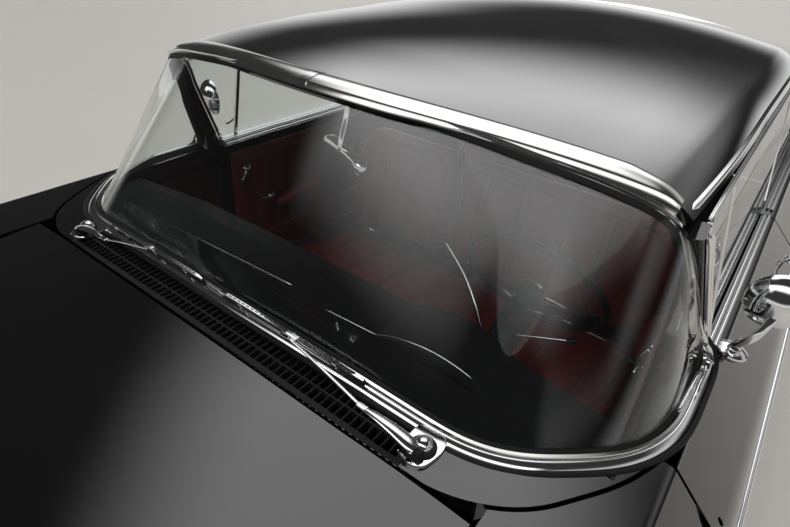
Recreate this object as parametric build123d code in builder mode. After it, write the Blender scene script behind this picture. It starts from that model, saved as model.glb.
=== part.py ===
from build123d import *
import math
import os

# A full-size two-door hardtop of the late nineteen-fifties, built from its real panels.
# Millimetres. +X is the car's left (driver's) side, -Y is forward, +Z is up.
# The origin lies on the ground, at the middle of the car's length and width.

os.makedirs("parts", exist_ok=True)

# Driving sizes of the whole car
FRONT_Y = -2655.0
REAR_Y = 2655.0
OUT_X = 1100.0  # any plane clear of the body side
GAP = 8.0  # shut line between two outer panels
AIR = 0.3  # working air between a lamp, pin or seat and what holds it
SKIN = 22.0  # wall of fenders, quarters and lids with their inner panels

# Wheels and axles
TYRE_R = 352.0
TYRE_HALF_W = 100.0
BEAD_R = 183.0
SPINDLE_R = 16.0
RUN_FIT = 0.1  # radial air on a turning shaft
WHEEL_X = 745.0
FRONT_AXLE_Y = -1735.0
WHEELBASE = 2985.0
REAR_AXLE_Y = FRONT_AXLE_Y + WHEELBASE
ARCH_R = 425.0
HOUSE_R = 408.0
KINGPIN_X = 665.0
KNUCKLE_R = 22.0
ARM_RISE = 115.0  # height of each wishbone above and below the axle
ARM_T = 20.0

# Body sides, straight between MID_FRONT_Y and MID_REAR_Y. The corners are rounded by SIDE_RADII.
# Columns: y, gap x, gap z, crease x, crease z, waist x, waist z, flank x, flank z, sill x, sill z
MID_FRONT_Y = -1110.0
MID_REAR_Y = 1530.0
MID_SIDE = (645, 984, 850, 971, 997, 820, 977, 525, 932, 262)
SIDE_FRONT = [
    (-2540, 645, 848, 795, 872, 925, 752, 915, 560, 880, 440),
    (-2330, 645, 900, 825, 916, 970, 785, 955, 540, 915, 330),
    (-1900, 645, 952, 845, 950, 992, 812, 972, 530, 930, 280),
    (-1450, 645, 978, 850, 967, 996, 819, 976, 526, 932, 265),
    (MID_FRONT_Y, *MID_SIDE),
]
SIDE_REAR = [
    (MID_REAR_Y, *MID_SIDE),
    (2050, 645, 966, 848, 984, 978, 836, 957, 545, 920, 300),
    (2545, 645, 916, 822, 962, 925, 828, 905, 560, 880, 385),
]
SIDE_RADII = (26.0, 130.0, 220.0)
CORE_X = 500.0  # the side volume reaches this far inboard
PANEL_EDGE_X = 649.0  # inner edge of the fenders and quarters beside hood and trunk
LID_EDGE_X = PANEL_EDGE_X - GAP

# Hood. Columns: y, centre z, crease x, crease z, edge z
HOOD_REAR_Y = -1112.0
HOOD = [
    (-2475, 893, 300, 880, 866),
    (-2330, 926, 335, 913, 899),
    (-1900, 972, 372, 963, 951),
    (HOOD_REAR_Y, 992, 392, 990, 984),
]
# Trunk lid, with the same columns
TRUNK_FRONT_Y = 1594.0
TRUNK = [
    (TRUNK_FRONT_Y, 992, 330, 989, 983),
    (2050, 976, 320, 971, 964),
    (2430, 942, 310, 936, 927),
]
LID_PIVOT_BACK = 38.0  # a lid's pivot lies this far inside its edge
LID_PIVOT_DROP = 42.0  # and this far under its skin
LID_PIVOT_X = 588.0
LID_EYE_R = 10.0
LID_PIN_R = 5.0

# Roof. Columns: y, crown z, crease x, crease z, drip x, drip z
ROOF = [
    (-690, 1410, 640, 1347, 718, 1310),
    (-430, 1432, 664, 1374, 734, 1330),
    (150, 1450, 668, 1396, 738, 1334),
    (750, 1446, 655, 1392, 738, 1332),
    (1215, 1402, 628, 1350, 722, 1306),
]
ROOF_WALL = 24.0
DRIP_WALL = 14.0

# Cowl, in plan: the corners of half its outline from the middle, with their radii
COWL_FRONT_Y = HOOD_REAR_Y + GAP
COWL_SIDE_X = 842.0
COWL_REAR_Y = -455.0
COWL_OUT = [(0, COWL_FRONT_Y), (650, COWL_FRONT_Y), (COWL_SIDE_X, -814), (COWL_SIDE_X, COWL_REAR_Y)]
COWL_RADII = (250.0, 500.0)
COWL_CROWN_Z = 992.0
COWL_EDGE_Z = 971.0
COWL_BASE_Z = 920.0
COWL_INNER_Y = -895.0
COWL_INNER_X = 780.0
GRILLE_HALF_X = 502.0
WIPER_X = 528.0
WIPER_Y = -1062.0
GRILLE_REAR_Y = -1014.0
GRILLE_RIBS = 58
GRILLE_RIB_T = 3.0

# Windshield and rear window, in plan at two heights: half outlines with their corner radii
GLASS = 6.0
SHIELD_LOW_Z = 960.0
SHIELD_LOW = [(0, -1017), (620, -1017), (826, -790), (826, -330)]
SHIELD_LOW_RADII = (220.0, 300.0)
SHIELD_HIGH_Z = 1420.0
SHIELD_HIGH = [(0, -690), (540, -690), (714, -612), (714, -330)]
SHIELD_HIGH_RADII = (200.0, 90.0)
HEADER = [(-735, 1284), (0, 1392), (735, 1284)]
BACK_LOW_Z = 970.0
BACK_LOW = [(0, 1560), (560, 1560), (748, 1400), (748, 1180)]
BACK_LOW_RADII = (260.0, 160.0)
BACK_HIGH_Z = 1410.0
BACK_HIGH = [(0, 1222), (500, 1222), (668, 1120), (668, 960)]
BACK_HIGH_RADII = (200.0, 90.0)
BACK_HEADER = [(-722, 1296), (0, 1398), (722, 1296)]

# Windshield pillar, from its foot on the cowl to the roof
PILLAR_FOOT = (812.0, -440.0, 960.0)
PILLAR_TOP = (730.0, -612.0, 1324.0)
PILLAR_W = 42.0
PILLAR_T = 26.0
# Rear roof pillar in plan: at the belt and at the roof
SAIL_LOW = [(816, 1085), (786, 1500), (756, 1500), (786, 1085)]
SAIL_HIGH = [(738, 860), (712, 1140), (680, 1140), (708, 860)]

# Doors
SEAM_Y = -795.0
DOOR_NOSE_Y = SEAM_Y + GAP / 2
FENDER_END_Y = SEAM_Y - GAP / 2
HINGE_X = 950.0
HINGE_BACK = 34.0  # the door's leading edge stands this far ahead of its hinge pin
HINGE_Y = DOOR_NOSE_Y + HINGE_BACK
DOOR_SWEEP_R = 63.1  # clear radius for the leading edge about the pin
HINGE_ZS = (560.0, 800.0)
HINGE_EYE_R = 11.0
HINGE_PIN_R = 6.0
HINGE_H = 26.0
POCKET_R = 18.0
DOOR_FACE_Y = HINGE_Y + 16.0
DOOR_IN_X = 775.0
DOOR_TRIM_X = 745.0
DOOR_LOW_Z = 346.0
DOOR_REAR_Y = 420.0  # rear seam at x = DOOR_REAR_X
DOOR_REAR_X = 1010.0
DOOR_REAR_LEAN = 0.14
DOG_LOW_Z = 912.0  # top of the door under the dogleg of the windshield pillar
DOG_X = COWL_SIDE_X + 10.5
TRIM_LOW_Z = 930.0

# Side glass: the outer face passes through these two points of x and z
SIDE_GLASS_T = 5.0
SIDE_GLASS_LOW = (812.0, 975.0)
SIDE_GLASS_HIGH = (741.0, 1322.0)
WINDOW_TOP_Z = 1308.0
WINDOW_SEAT_Z = 760.0

# Frame and floor. Columns: y, top z of the rail, which is the underside of the floor
RAIL_TOP = [
    (-2575, 430),
    (-1290, 380),
    (-1085, 248),
    (700, 248),
    (900, 540),
    (1520, 540),
    (1700, 420),
    (2575, 430),
]
RAIL_H = 110.0
RAIL_IN_X = 380.0
RAIL_OUT_X = 450.0
FRONT_SEAT_X = 690.0
SEAT_SPLIT_X = -180.0
DASH_X = 764.0
INSIDE_MIRROR_TURN = 24.0  # degrees towards the driver
FLOOR_T = 14.0
FLOOR_Z = 248.0
FLOOR_X = 760.0
ROCKER_TOP_Z = DOOR_LOW_Z - GAP
TUNNEL_R = 136.0
TUNNEL_Z = 235.0
TUNNEL_END_Y = 794.0
FIREWALL_Y = -1075.0
HOUSE_X = 590.0
SHELF_Z = 770.0  # top of the inner fender's shelf, where the fender's flange stands
FLANGE_T = 8.0
APRON_X = 452.0
RADIATOR_LOW_Z = 424.0
PROP_R = 26.0

# Fittings
LAMP_R = 73.0
LAMP_ZS = 672.0
LAMP_XS = (650.0, 818.0)
TAIL_R = 62.0
TAIL_XS = (470.0, 740.0)
TAIL_Z = 690.0
NOSE_X = 560.0
STEER_CENTRE = (385.0, -300.0, 860.0)
STEER_R = 205.0
STEER_RAKE = 30.0
COLUMN_R = 24.0
SHAFT_R = 9.0


def keep(piece, label):
    piece.label = label
    export_step(piece, f"parts/{label}.step")


def other_side(piece):
    return mirror(piece, about=Plane.YZ, mode=Mode.PRIVATE)


def station(y):
    """The upright plane across the car at one station; its local axes are X and Z."""
    return Plane.XZ.offset(-y)


def plan_prism(points, low, high):
    """Upright prism over an outline in plan."""
    with BuildPart() as prism:
        with BuildSketch(Plane.XY.offset(low)):
            with BuildLine():
                Polyline(*points, close=True)
            make_face()
        extrude(amount=high - low)
    return prism.part


def side_prism(points, x_low, x_high):
    """Prism across the car over an outline in side view, as points of y and z."""
    with BuildPart() as prism:
        with BuildSketch(Plane.YZ.offset(x_low)):
            with BuildLine():
                Polyline(*points, close=True)
            make_face()
        extrude(amount=x_high - x_low)
    return prism.part


def cross_prism(points, y_low, y_high):
    """Prism along the car over an outline in front view, as points of x and z."""
    with BuildPart() as prism:
        with BuildSketch(station(y_high)):
            with BuildLine():
                Polyline(*points, close=True)
            make_face()
        extrude(amount=y_high - y_low)
    return prism.part


def block(x_low, x_high, y_low, y_high, z_low, z_high):
    corners = [(x_low, y_low), (x_high, y_low), (x_high, y_high), (x_low, y_high)]
    return plan_prism(corners, z_low, z_high)


def post(x, y, z_low, z_high, radius):
    """Upright cylinder."""
    with BuildPart() as solid:
        with BuildSketch(Plane.XY.offset(z_low)):
            with Locations((x, y)):
                Circle(radius)
        extrude(amount=z_high - z_low)
    return solid.part


def cross_bar(x_low, x_high, y, z, radius):
    """Cylinder across the car."""
    with BuildPart() as solid:
        with BuildSketch(Plane.YZ.offset(x_low)):
            with Locations((y, z)):
                Circle(radius)
        extrude(amount=x_high - x_low)
    return solid.part


def long_bar(y_low, y_high, x, z, radius):
    """Cylinder along the car."""
    with BuildPart() as solid:
        with BuildSketch(station(y_high)):
            with Locations((x, z)):
                Circle(radius)
        extrude(amount=y_high - y_low)
    return solid.part


def strut(start, end, width, height):
    """Straight bar of rectangular section between two points."""
    run = Vector(*end) - Vector(*start)
    across = Vector(0, 0, 1).cross(run)
    if across.length < 1e-6:
        across = Vector(1, 0, 0)
    with BuildPart() as solid:
        with BuildSketch(Plane(origin=start, x_dir=across, z_dir=run)):
            Rectangle(width, height)
        extrude(amount=run.length)
    return solid.part


def side_face(row, inset, drop):
    """Closed section of one body side: the outer line, closed inboard at CORE_X."""
    y, gap_x, gap_z, crease_x, crease_z, waist_x, waist_z, flank_x, flank_z, sill_x, sill_z = row
    slope = (gap_z - crease_z) / (crease_x - gap_x)
    core_x = CORE_X - (40 if inset else 0)
    core_z = gap_z + slope * (gap_x - core_x) - inset
    radii = [r - inset * 0.4 for r in SIDE_RADII]
    with BuildSketch(station(y)) as section:
        with BuildLine():
            outer = FilletPolyline(
                (core_x, core_z),
                (crease_x - inset, crease_z - inset),
                (waist_x - inset, waist_z - inset * 0.3),
                (flank_x - inset, flank_z),
                (sill_x - inset, sill_z - drop),
                radius=radii,
            )
            Polyline(outer @ 1, (core_x, sill_z - drop), (core_x, core_z))
        make_face()
    return section.sketch


def lid_face(row, wall):
    """Closed section of a hood or lid: three crowned strips above, the same below."""
    y, mid_z, crease_x, crease_z, edge_z = row
    edge_x = LID_EDGE_X
    bow = 3.0
    with BuildSketch(station(y)) as section:
        with BuildLine():
            for down in (0, wall):
                ThreePointArc((-crease_x, crease_z - down), (0, mid_z - down), (crease_x, crease_z - down))
                for side in (-1, 1):
                    middle = (side * (crease_x + edge_x) / 2, (crease_z + edge_z) / 2 + bow - down)
                    ThreePointArc((side * crease_x, crease_z - down), middle, (side * edge_x, edge_z - down))
            for side in (-1, 1):
                Line((side * edge_x, edge_z), (side * edge_x, edge_z - wall))
        make_face()
    return section.sketch


def roof_face(row):
    """Closed section of the roof: a crowned middle between two creases, and a fall to each drip rail."""
    y, crown_z, crease_x, crease_z, drip_x, drip_z = row
    bow = 7.0
    with BuildSketch(station(y)) as section:
        with BuildLine():
            for down, edge_down in ((0, 0), (ROOF_WALL, DRIP_WALL)):
                ThreePointArc((-crease_x, crease_z - down), (0, crown_z - down), (crease_x, crease_z - down))
                for side in (-1, 1):
                    middle_z = (crease_z + drip_z - down - edge_down) / 2 + bow
                    ThreePointArc(
                        (side * crease_x, crease_z - down),
                        (side * ((crease_x + drip_x) / 2 + bow), middle_z),
                        (side * drip_x, drip_z - edge_down),
                    )
            for side in (-1, 1):
                Line((side * drip_x, drip_z), (side * drip_x, drip_z - DRIP_WALL))
        make_face()
    return section.sketch


def bent_face(z, points, radii, thick):
    """A U-shaped strip in plan, as thick as a window, following rounded corners."""
    sign = 1 if points[0][1] < points[-1][1] else -1
    outer = points[1:]
    inner = [
        (outer[0][0] - thick * 0.4, outer[0][1] + sign * thick),
        (outer[1][0] - thick, outer[1][1] + sign * thick * 0.4),
        (outer[2][0] - thick, outer[2][1]),
    ]
    with BuildSketch(Plane.XY.offset(z)) as section:
        with BuildLine():
            runs = []
            for half, trim in ((outer, 0), (inner, thick)):
                corners = [(-x, y) for x, y in reversed(half)] + list(half)
                arcs = [radii[1] - trim, radii[0] - trim, radii[0] - trim, radii[1] - trim]
                runs.append(FilletPolyline(*corners, radius=arcs))
            Line(runs[0] @ 0, runs[1] @ 0)
            Line(runs[0] @ 1, runs[1] @ 1)
        make_face()
    return section.sketch


def cowl_outline(grow):
    """The cowl's outline in plan, closed behind, and grown all round for the fenders' clearance."""
    corners = [(x, y) for x, y in COWL_OUT[1:]]
    run = [(-x, y) for x, y in reversed(corners)] + corners
    arcs = [COWL_RADII[1], COWL_RADII[0], COWL_RADII[0], COWL_RADII[1]]
    with BuildSketch(Plane.XY.offset(COWL_BASE_Z)) as outline:
        with BuildLine():
            edge = FilletPolyline(*run, radius=arcs)
            Line(edge @ 0, edge @ 1)
        make_face()
        if grow:
            offset(amount=grow)
    return outline.sketch


def arc_prism(arc, far_z, y_low, y_high):
    """Everything above or below an arc in front view, along a length of the car."""
    with BuildPart() as prism:
        with BuildSketch(station(y_high)):
            with BuildLine():
                ThreePointArc(*arc)
                Polyline(arc[2], (arc[2][0], far_z), (arc[0][0], far_z), arc[0])
            make_face()
        extrude(amount=y_high - y_low)
    return prism.part


# Side volumes that the fenders, doors and quarters are cut from, and the skins round them
mid_row = (MID_FRONT_Y, *MID_SIDE)


def side_volume(rows, inset, drop):
    """Solid body side through its stations, or the hollow inside its skin."""
    with BuildPart() as volume:
        if len(rows) > 1:
            loft(sections=[side_face(row, inset, drop) for row in rows])
        else:
            section = side_face((MID_REAR_Y, *MID_SIDE), inset, drop)
            extrude(to_extrude=section.face(), amount=MID_REAR_Y - MID_FRONT_Y, dir=(0, -1, 0))
    return volume.part


def side_skin(rows):
    with BuildPart() as skin:
        add(side_volume(rows, 0, 0))
        add(side_volume(rows, SKIN, 60), mode=Mode.SUBTRACT)
    return skin.part


mid_volume = side_volume([mid_row], 0, 0)
mid_skin = side_skin([mid_row])
front_volume = side_volume(SIDE_FRONT, 0, 0)
front_skin = side_skin(SIDE_FRONT)
rear_volume = side_volume(SIDE_REAR, 0, 0)
rear_skin = side_skin(SIDE_REAR)
with BuildPart() as roof_shell:
    loft(sections=[roof_face(row) for row in ROOF])

# The cowl's crowned band across the car, and the same band of the rear deck
CROWN = [(-PANEL_EDGE_X, COWL_CROWN_Z - 8), (0, COWL_CROWN_Z), (PANEL_EDGE_X, COWL_CROWN_Z - 8)]


def crowned_band(half_x, low_z, y_low, y_high):
    """Deck as wide as the car's top: crowned to PANEL_EDGE_X, then falling to the fenders' crease."""
    share = (half_x - PANEL_EDGE_X) / (850 - PANEL_EDGE_X)
    edge_z = COWL_CROWN_Z - 8 + (COWL_EDGE_Z - COWL_CROWN_Z + 8) * share
    with BuildPart() as band:
        with BuildSketch(station(y_high)):
            with BuildLine():
                ThreePointArc(*CROWN)
                fall = [(half_x, edge_z), (half_x, low_z), (-half_x, low_z), (-half_x, edge_z)]
                if half_x == PANEL_EDGE_X:
                    fall = fall[1:3]
                Polyline(CROWN[2], *fall, CROWN[0])
            make_face()
        extrude(amount=y_high - y_low)
    return band.part


cowl_band = crowned_band(COWL_SIDE_X + 5, COWL_BASE_Z, COWL_FRONT_Y - 20, COWL_REAR_Y + 20)
with BuildPart() as cowl_reach:
    with BuildSketch(Plane.XY.offset(COWL_BASE_Z - 5)):
        add(cowl_outline(0).moved(Location((0, 0, -COWL_BASE_Z))))
    extrude(amount=120)
with BuildPart() as fender_relief:
    with BuildSketch(Plane.XY.offset(860)):
        add(cowl_outline(GAP).moved(Location((0, 0, -COWL_BASE_Z))))
    extrude(amount=200)

door_sweep = post(HINGE_X, HINGE_Y, 200, 1100, DOOR_SWEEP_R)
HOOD_PIVOT = (COWL_FRONT_Y - GAP - LID_PIVOT_BACK, 990 - LID_PIVOT_DROP)
TRUNK_PIVOT = (TRUNK_FRONT_Y + LID_PIVOT_BACK, 990 - LID_PIVOT_DROP)
LID_SWEEP_R = 61.8
hood_sweep = cross_bar(-LID_EDGE_X - 3, LID_EDGE_X + 3, *HOOD_PIVOT, LID_SWEEP_R)
trunk_sweep = cross_bar(-LID_EDGE_X - 3, LID_EDGE_X + 3, *TRUNK_PIVOT, LID_SWEEP_R)


def mirrored_pair(piece):
    return [piece, other_side(piece)]


# Fenders
fender_top = block(PANEL_EDGE_X, OUT_X, -2545, FENDER_END_Y, 200, 1100)
front_cap = block(NOSE_X, OUT_X, -2545, -2490, 200, 1100)
with BuildPart() as fender_cap:
    add(front_volume)
    add(front_cap, mode=Mode.INTERSECT)
with BuildPart() as fender_flange:
    add(front_volume)
    add(block(PANEL_EDGE_X, PANEL_EDGE_X + FLANGE_T, -2495, MID_FRONT_Y, SHELF_Z, 1100), mode=Mode.INTERSECT)
with BuildPart() as fender:
    add(front_skin)
    add(mid_skin)
    add(fender_top, mode=Mode.INTERSECT)
    add(fender_flange.part)
    add(fender_relief.part, mode=Mode.SUBTRACT)
    add(door_sweep, mode=Mode.SUBTRACT)
    add(cross_bar(600, OUT_X, FRONT_AXLE_Y, TYRE_R, ARCH_R), mode=Mode.SUBTRACT)
    add(fender_cap.part)
    for lamp_x in LAMP_XS:
        add(long_bar(-2600, -2505, lamp_x, LAMP_ZS, LAMP_R + AIR), mode=Mode.SUBTRACT)
keep(fender.part, "fender_left")
keep(other_side(fender.part), "fender_right")

# Doors
lean_in = DOOR_REAR_LEAN * (DOOR_REAR_X - DOOR_IN_X)
lean_trim = DOOR_REAR_LEAN * (DOOR_REAR_X - DOOR_TRIM_X)
rear_edge = DOOR_REAR_Y - GAP / 2
out_shift = DOOR_REAR_LEAN * (OUT_X - DOOR_REAR_X)
door_plan = [
    (DOOR_IN_X, DOOR_FACE_Y),
    (OUT_X, DOOR_FACE_Y),
    (OUT_X, rear_edge + out_shift),
    (DOOR_IN_X, rear_edge - lean_in),
]
trim_plan = [
    (DOOR_TRIM_X, COWL_REAR_Y + GAP + 6),
    (DOOR_IN_X + 10, COWL_REAR_Y + GAP + 6),
    (DOOR_IN_X + 10, rear_edge - lean_in),
    (DOOR_TRIM_X, rear_edge - lean_trim),
]


def glass_x(z):
    """Outer face of the side glass at one height."""
    run = (SIDE_GLASS_HIGH[0] - SIDE_GLASS_LOW[0]) / (SIDE_GLASS_HIGH[1] - SIDE_GLASS_LOW[1])
    return SIDE_GLASS_LOW[0] + run * (z - SIDE_GLASS_LOW[1])


def glass_slab(low_z, high_z, margin, y_low, y_high):
    """The side glass as a leaning slab, wider on both faces by a margin."""
    corners = [
        (glass_x(low_z) + margin, low_z),
        (glass_x(high_z) + margin, high_z),
        (glass_x(high_z) - SIDE_GLASS_T - margin, high_z),
        (glass_x(low_z) - SIDE_GLASS_T - margin, low_z),
    ]
    return cross_prism(corners, y_low, y_high)


with BuildPart() as door_trim:
    add(mid_volume)
    add(plan_prism(trim_plan, TRIM_LOW_Z, 1100), mode=Mode.INTERSECT)
with BuildPart() as door_nose:
    add(mid_skin)
    add(block(DOG_X, OUT_X, DOOR_NOSE_Y, DOOR_FACE_Y + 5, DOOR_LOW_Z, 1100), mode=Mode.INTERSECT)
with BuildPart() as door:
    add(mid_volume)
    add(plan_prism(door_plan, DOOR_LOW_Z, 1100), mode=Mode.INTERSECT)
    add(block(0, DOG_X, DOOR_NOSE_Y, COWL_REAR_Y + GAP + 6, DOG_LOW_Z, 1100), mode=Mode.SUBTRACT)
    add(door_trim.part)
    add(door_nose.part)
    for hinge_z in HINGE_ZS:
        pocket = post(HINGE_X, HINGE_Y, hinge_z - HINGE_H * 1.5 - 8, hinge_z + HINGE_H / 2 + 14, POCKET_R)
        add(pocket, mode=Mode.SUBTRACT)
        add(post(HINGE_X, HINGE_Y, hinge_z - HINGE_H / 2, hinge_z + HINGE_H / 2, HINGE_EYE_R))
        leaf = block(HINGE_X - HINGE_EYE_R, HINGE_X + HINGE_EYE_R, HINGE_Y, DOOR_FACE_Y + 8,
                     hinge_z - HINGE_H / 2, hinge_z + HINGE_H / 2)
        add(leaf)
        add(post(HINGE_X, HINGE_Y, 200, 1100, HINGE_PIN_R + AIR), mode=Mode.SUBTRACT)
    add(glass_slab(WINDOW_SEAT_Z, 1040, 3, COWL_REAR_Y - 4, 600), mode=Mode.SUBTRACT)
keep(door.part, "door_left")
keep(other_side(door.part), "door_right")

# Door glass, in side view: seated in the door and leaning back with the pillar
pillar_lean = (PILLAR_TOP[1] - PILLAR_FOOT[1]) / (PILLAR_TOP[2] - PILLAR_FOOT[2])
pillar_half_y = PILLAR_W / 2 * math.hypot(1, pillar_lean)


def pillar_rear_y(z):
    return PILLAR_FOOT[1] + pillar_lean * (z - PILLAR_FOOT[2]) + pillar_half_y


glass_rear_low = 438.0
glass_rear_high = 690.0
belt_rear = rear_edge - DOOR_REAR_LEAN * (DOOR_REAR_X - SIDE_GLASS_LOW[0]) - 6
door_glass_view = [
    (pillar_rear_y(980) + GAP, WINDOW_SEAT_Z),
    (belt_rear, WINDOW_SEAT_Z),
    (belt_rear, 994),
    (glass_rear_low, 994),
    (glass_rear_high, WINDOW_TOP_Z),
    (pillar_rear_y(WINDOW_TOP_Z) + GAP, WINDOW_TOP_Z),
    (pillar_rear_y(980) + GAP, 980),
]
with BuildPart() as door_glass:
    add(glass_slab(WINDOW_SEAT_Z, WINDOW_TOP_Z, 0, -800, 800))
    add(side_prism(door_glass_view, 600, 1000), mode=Mode.INTERSECT)
keep(door_glass.part, "door_glass_left")
keep(other_side(door_glass.part), "door_glass_right")

# Quarters: a full wall beside the rear seat, a skin behind it
jamb_plan = [
    (DOOR_IN_X, rear_edge + GAP - lean_in),
    (OUT_X, rear_edge + GAP + out_shift),
    (OUT_X, 1130),
    (DOOR_IN_X, 1130),
]
house_cut = cross_bar(HOUSE_X, 955, REAR_AXLE_Y, TYRE_R, HOUSE_R)
rear_cap = block(NOSE_X, OUT_X, 2495, 2550, 200, 1100)
with BuildPart() as quarter_cap:
    add(rear_volume)
    add(rear_cap, mode=Mode.INTERSECT)
with BuildPart() as quarter_skin:
    add(mid_skin)
    add(rear_skin)
    add(block(PANEL_EDGE_X, OUT_X, 1130, 2550, 200, 1100), mode=Mode.INTERSECT)
with BuildPart() as quarter:
    add(mid_volume)
    add(plan_prism(jamb_plan, 200, 1100), mode=Mode.INTERSECT)
    add(quarter_skin.part)
    add(quarter_cap.part)
    add(house_cut, mode=Mode.SUBTRACT)
    add(cross_bar(900, OUT_X, REAR_AXLE_Y, TYRE_R - 40, 385), mode=Mode.SUBTRACT)
    add(long_bar(2505, 2600, TAIL_XS[1], TAIL_Z, TAIL_R + AIR), mode=Mode.SUBTRACT)
keep(quarter.part, "quarter_left")
keep(other_side(quarter.part), "quarter_right")

# Roof with its pillars
with BuildPart() as front_pillar:
    for centre, width in ((PILLAR_FOOT, PILLAR_W), (PILLAR_TOP, PILLAR_W)):
        x, y, z = centre
        with BuildSketch(Plane.XY.offset(z)):
            with Locations((x, y)):
                Rectangle(PILLAR_T, 2 * pillar_half_y)
    loft()
with BuildPart() as sail:
    for z, outline in ((950, SAIL_LOW), (1330, SAIL_HIGH)):
        with BuildSketch(Plane.XY.offset(z)):
            with BuildLine():
                Polyline(*outline, close=True)
            make_face()
    loft()
with BuildPart() as roof:
    add(roof_shell.part)
    for piece in (front_pillar.part, sail.part):
        add(mirrored_pair(piece))
    add(cowl_band, mode=Mode.SUBTRACT)
    add(mirrored_pair(mid_volume), mode=Mode.SUBTRACT)
keep(roof.part, "roof")

# Windshield, in front of its pillars and under the header
shield_side = [
    (-1100, 900),
    (PILLAR_FOOT[1] - pillar_half_y - 1, 900),
    (PILLAR_FOOT[1] - pillar_half_y - 1, PILLAR_FOOT[2]),
    (PILLAR_TOP[1] - pillar_half_y - 1, PILLAR_TOP[2]),
    (PILLAR_TOP[1] - pillar_half_y - 1, 1500),
    (-1100, 1500),
]
with BuildPart() as windshield:
    loft(sections=[
        bent_face(SHIELD_LOW_Z, SHIELD_LOW, SHIELD_LOW_RADII, GLASS),
        bent_face(SHIELD_HIGH_Z, SHIELD_HIGH, SHIELD_HIGH_RADII, GLASS),
    ])
    add(side_prism(shield_side, -900, 900), mode=Mode.INTERSECT)
    add(arc_prism(HEADER, 900, -1100, -300), mode=Mode.INTERSECT)
    add(cowl_band, mode=Mode.SUBTRACT)
keep(windshield.part, "windshield")

# Rear window and quarter windows
quarter_glass_view = [
    (glass_rear_low + GAP + 2, 960),
    (glass_rear_low + GAP + 2, 994),
    (glass_rear_high + GAP + 2, WINDOW_TOP_Z),
    (848, WINDOW_TOP_Z),
    (1066, 960),
]
deck_band = crowned_band(PANEL_EDGE_X, COWL_CROWN_Z - 30, 1130, TRUNK_FRONT_Y - GAP)
with BuildPart() as backlight:
    loft(sections=[
        bent_face(BACK_LOW_Z, BACK_LOW, BACK_LOW_RADII, GLASS),
        bent_face(BACK_HIGH_Z, BACK_HIGH, BACK_HIGH_RADII, GLASS),
    ])
    add(arc_prism(BACK_HEADER, 900, 900, 1700), mode=Mode.INTERSECT)
    add(deck_band, mode=Mode.SUBTRACT)
    add(mirrored_pair(mid_volume), mode=Mode.SUBTRACT)
with BuildPart() as quarter_glass:
    add(glass_slab(950, WINDOW_TOP_Z, 0, 300, 1200))
    add(side_prism(quarter_glass_view, 600, 1000), mode=Mode.INTERSECT)
    add(mid_volume, mode=Mode.SUBTRACT)
keep(backlight.part, "backlight")
with BuildPart() as quarter_windows:
    add(mirrored_pair(quarter_glass.part.solids().sort_by(SortBy.VOLUME)[-1]))
keep(quarter_windows.part, "quarter_glass")

# Rear deck, with the trunk's two hinge brackets
trunk_y, trunk_z = TRUNK_PIVOT
deck_end = TRUNK_FRONT_Y - GAP
bracket_view = [
    (trunk_y - LID_EYE_R, trunk_z),
    (trunk_y + LID_EYE_R, trunk_z),
    (trunk_y + LID_EYE_R, trunk_z - 98),
    (trunk_y - 140, trunk_z - 98),
    (trunk_y - 140, trunk_z + 26),
    (trunk_y - 110, trunk_z + 26),
    (trunk_y - 110, trunk_z - 68),
    (trunk_y - LID_EYE_R, trunk_z - 68),
]
with BuildPart() as rear_deck:
    add(deck_band)
    add(trunk_sweep, mode=Mode.SUBTRACT)
    for side in (-1, 1):
        low = side * LID_PIVOT_X - 8
        add(side_prism(bracket_view, low, low + 16))
        add(cross_bar(low, low + 16, trunk_y, trunk_z, LID_EYE_R))
        inboard, outboard = (22, 0) if side > 0 else (0, 22)
        add(cross_bar(low - inboard, low + 16 + outboard, trunk_y, trunk_z, LID_PIN_R))
keep(rear_deck.part, "rear_deck")


def lid_eye(side, y, z, skin_z):
    """Hinge eye under a lid, just inboard of the body's bracket."""
    middle = side * (LID_PIVOT_X - 17)
    with BuildPart() as eye:
        add(cross_bar(middle - 8, middle + 8, y, z, LID_EYE_R))
        add(block(middle - 8, middle + 8, y - LID_EYE_R, y + LID_EYE_R, z, skin_z))
        add(cross_bar(middle - 9, middle + 9, y, z, LID_PIN_R + AIR), mode=Mode.SUBTRACT)
    return eye.part


# Hood and trunk lid
hood_y, hood_z = HOOD_PIVOT
with BuildPart() as hood:
    loft(sections=[lid_face(row, SKIN) for row in HOOD])
    for side in (-1, 1):
        add(lid_eye(side, hood_y, hood_z, 966))
keep(hood.part, "hood")
with BuildPart() as trunk_lid:
    loft(sections=[lid_face(row, SKIN) for row in TRUNK])
    for side in (-1, 1):
        add(lid_eye(side, trunk_y, trunk_z, 966))
keep(trunk_lid.part, "trunk_lid")

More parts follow.
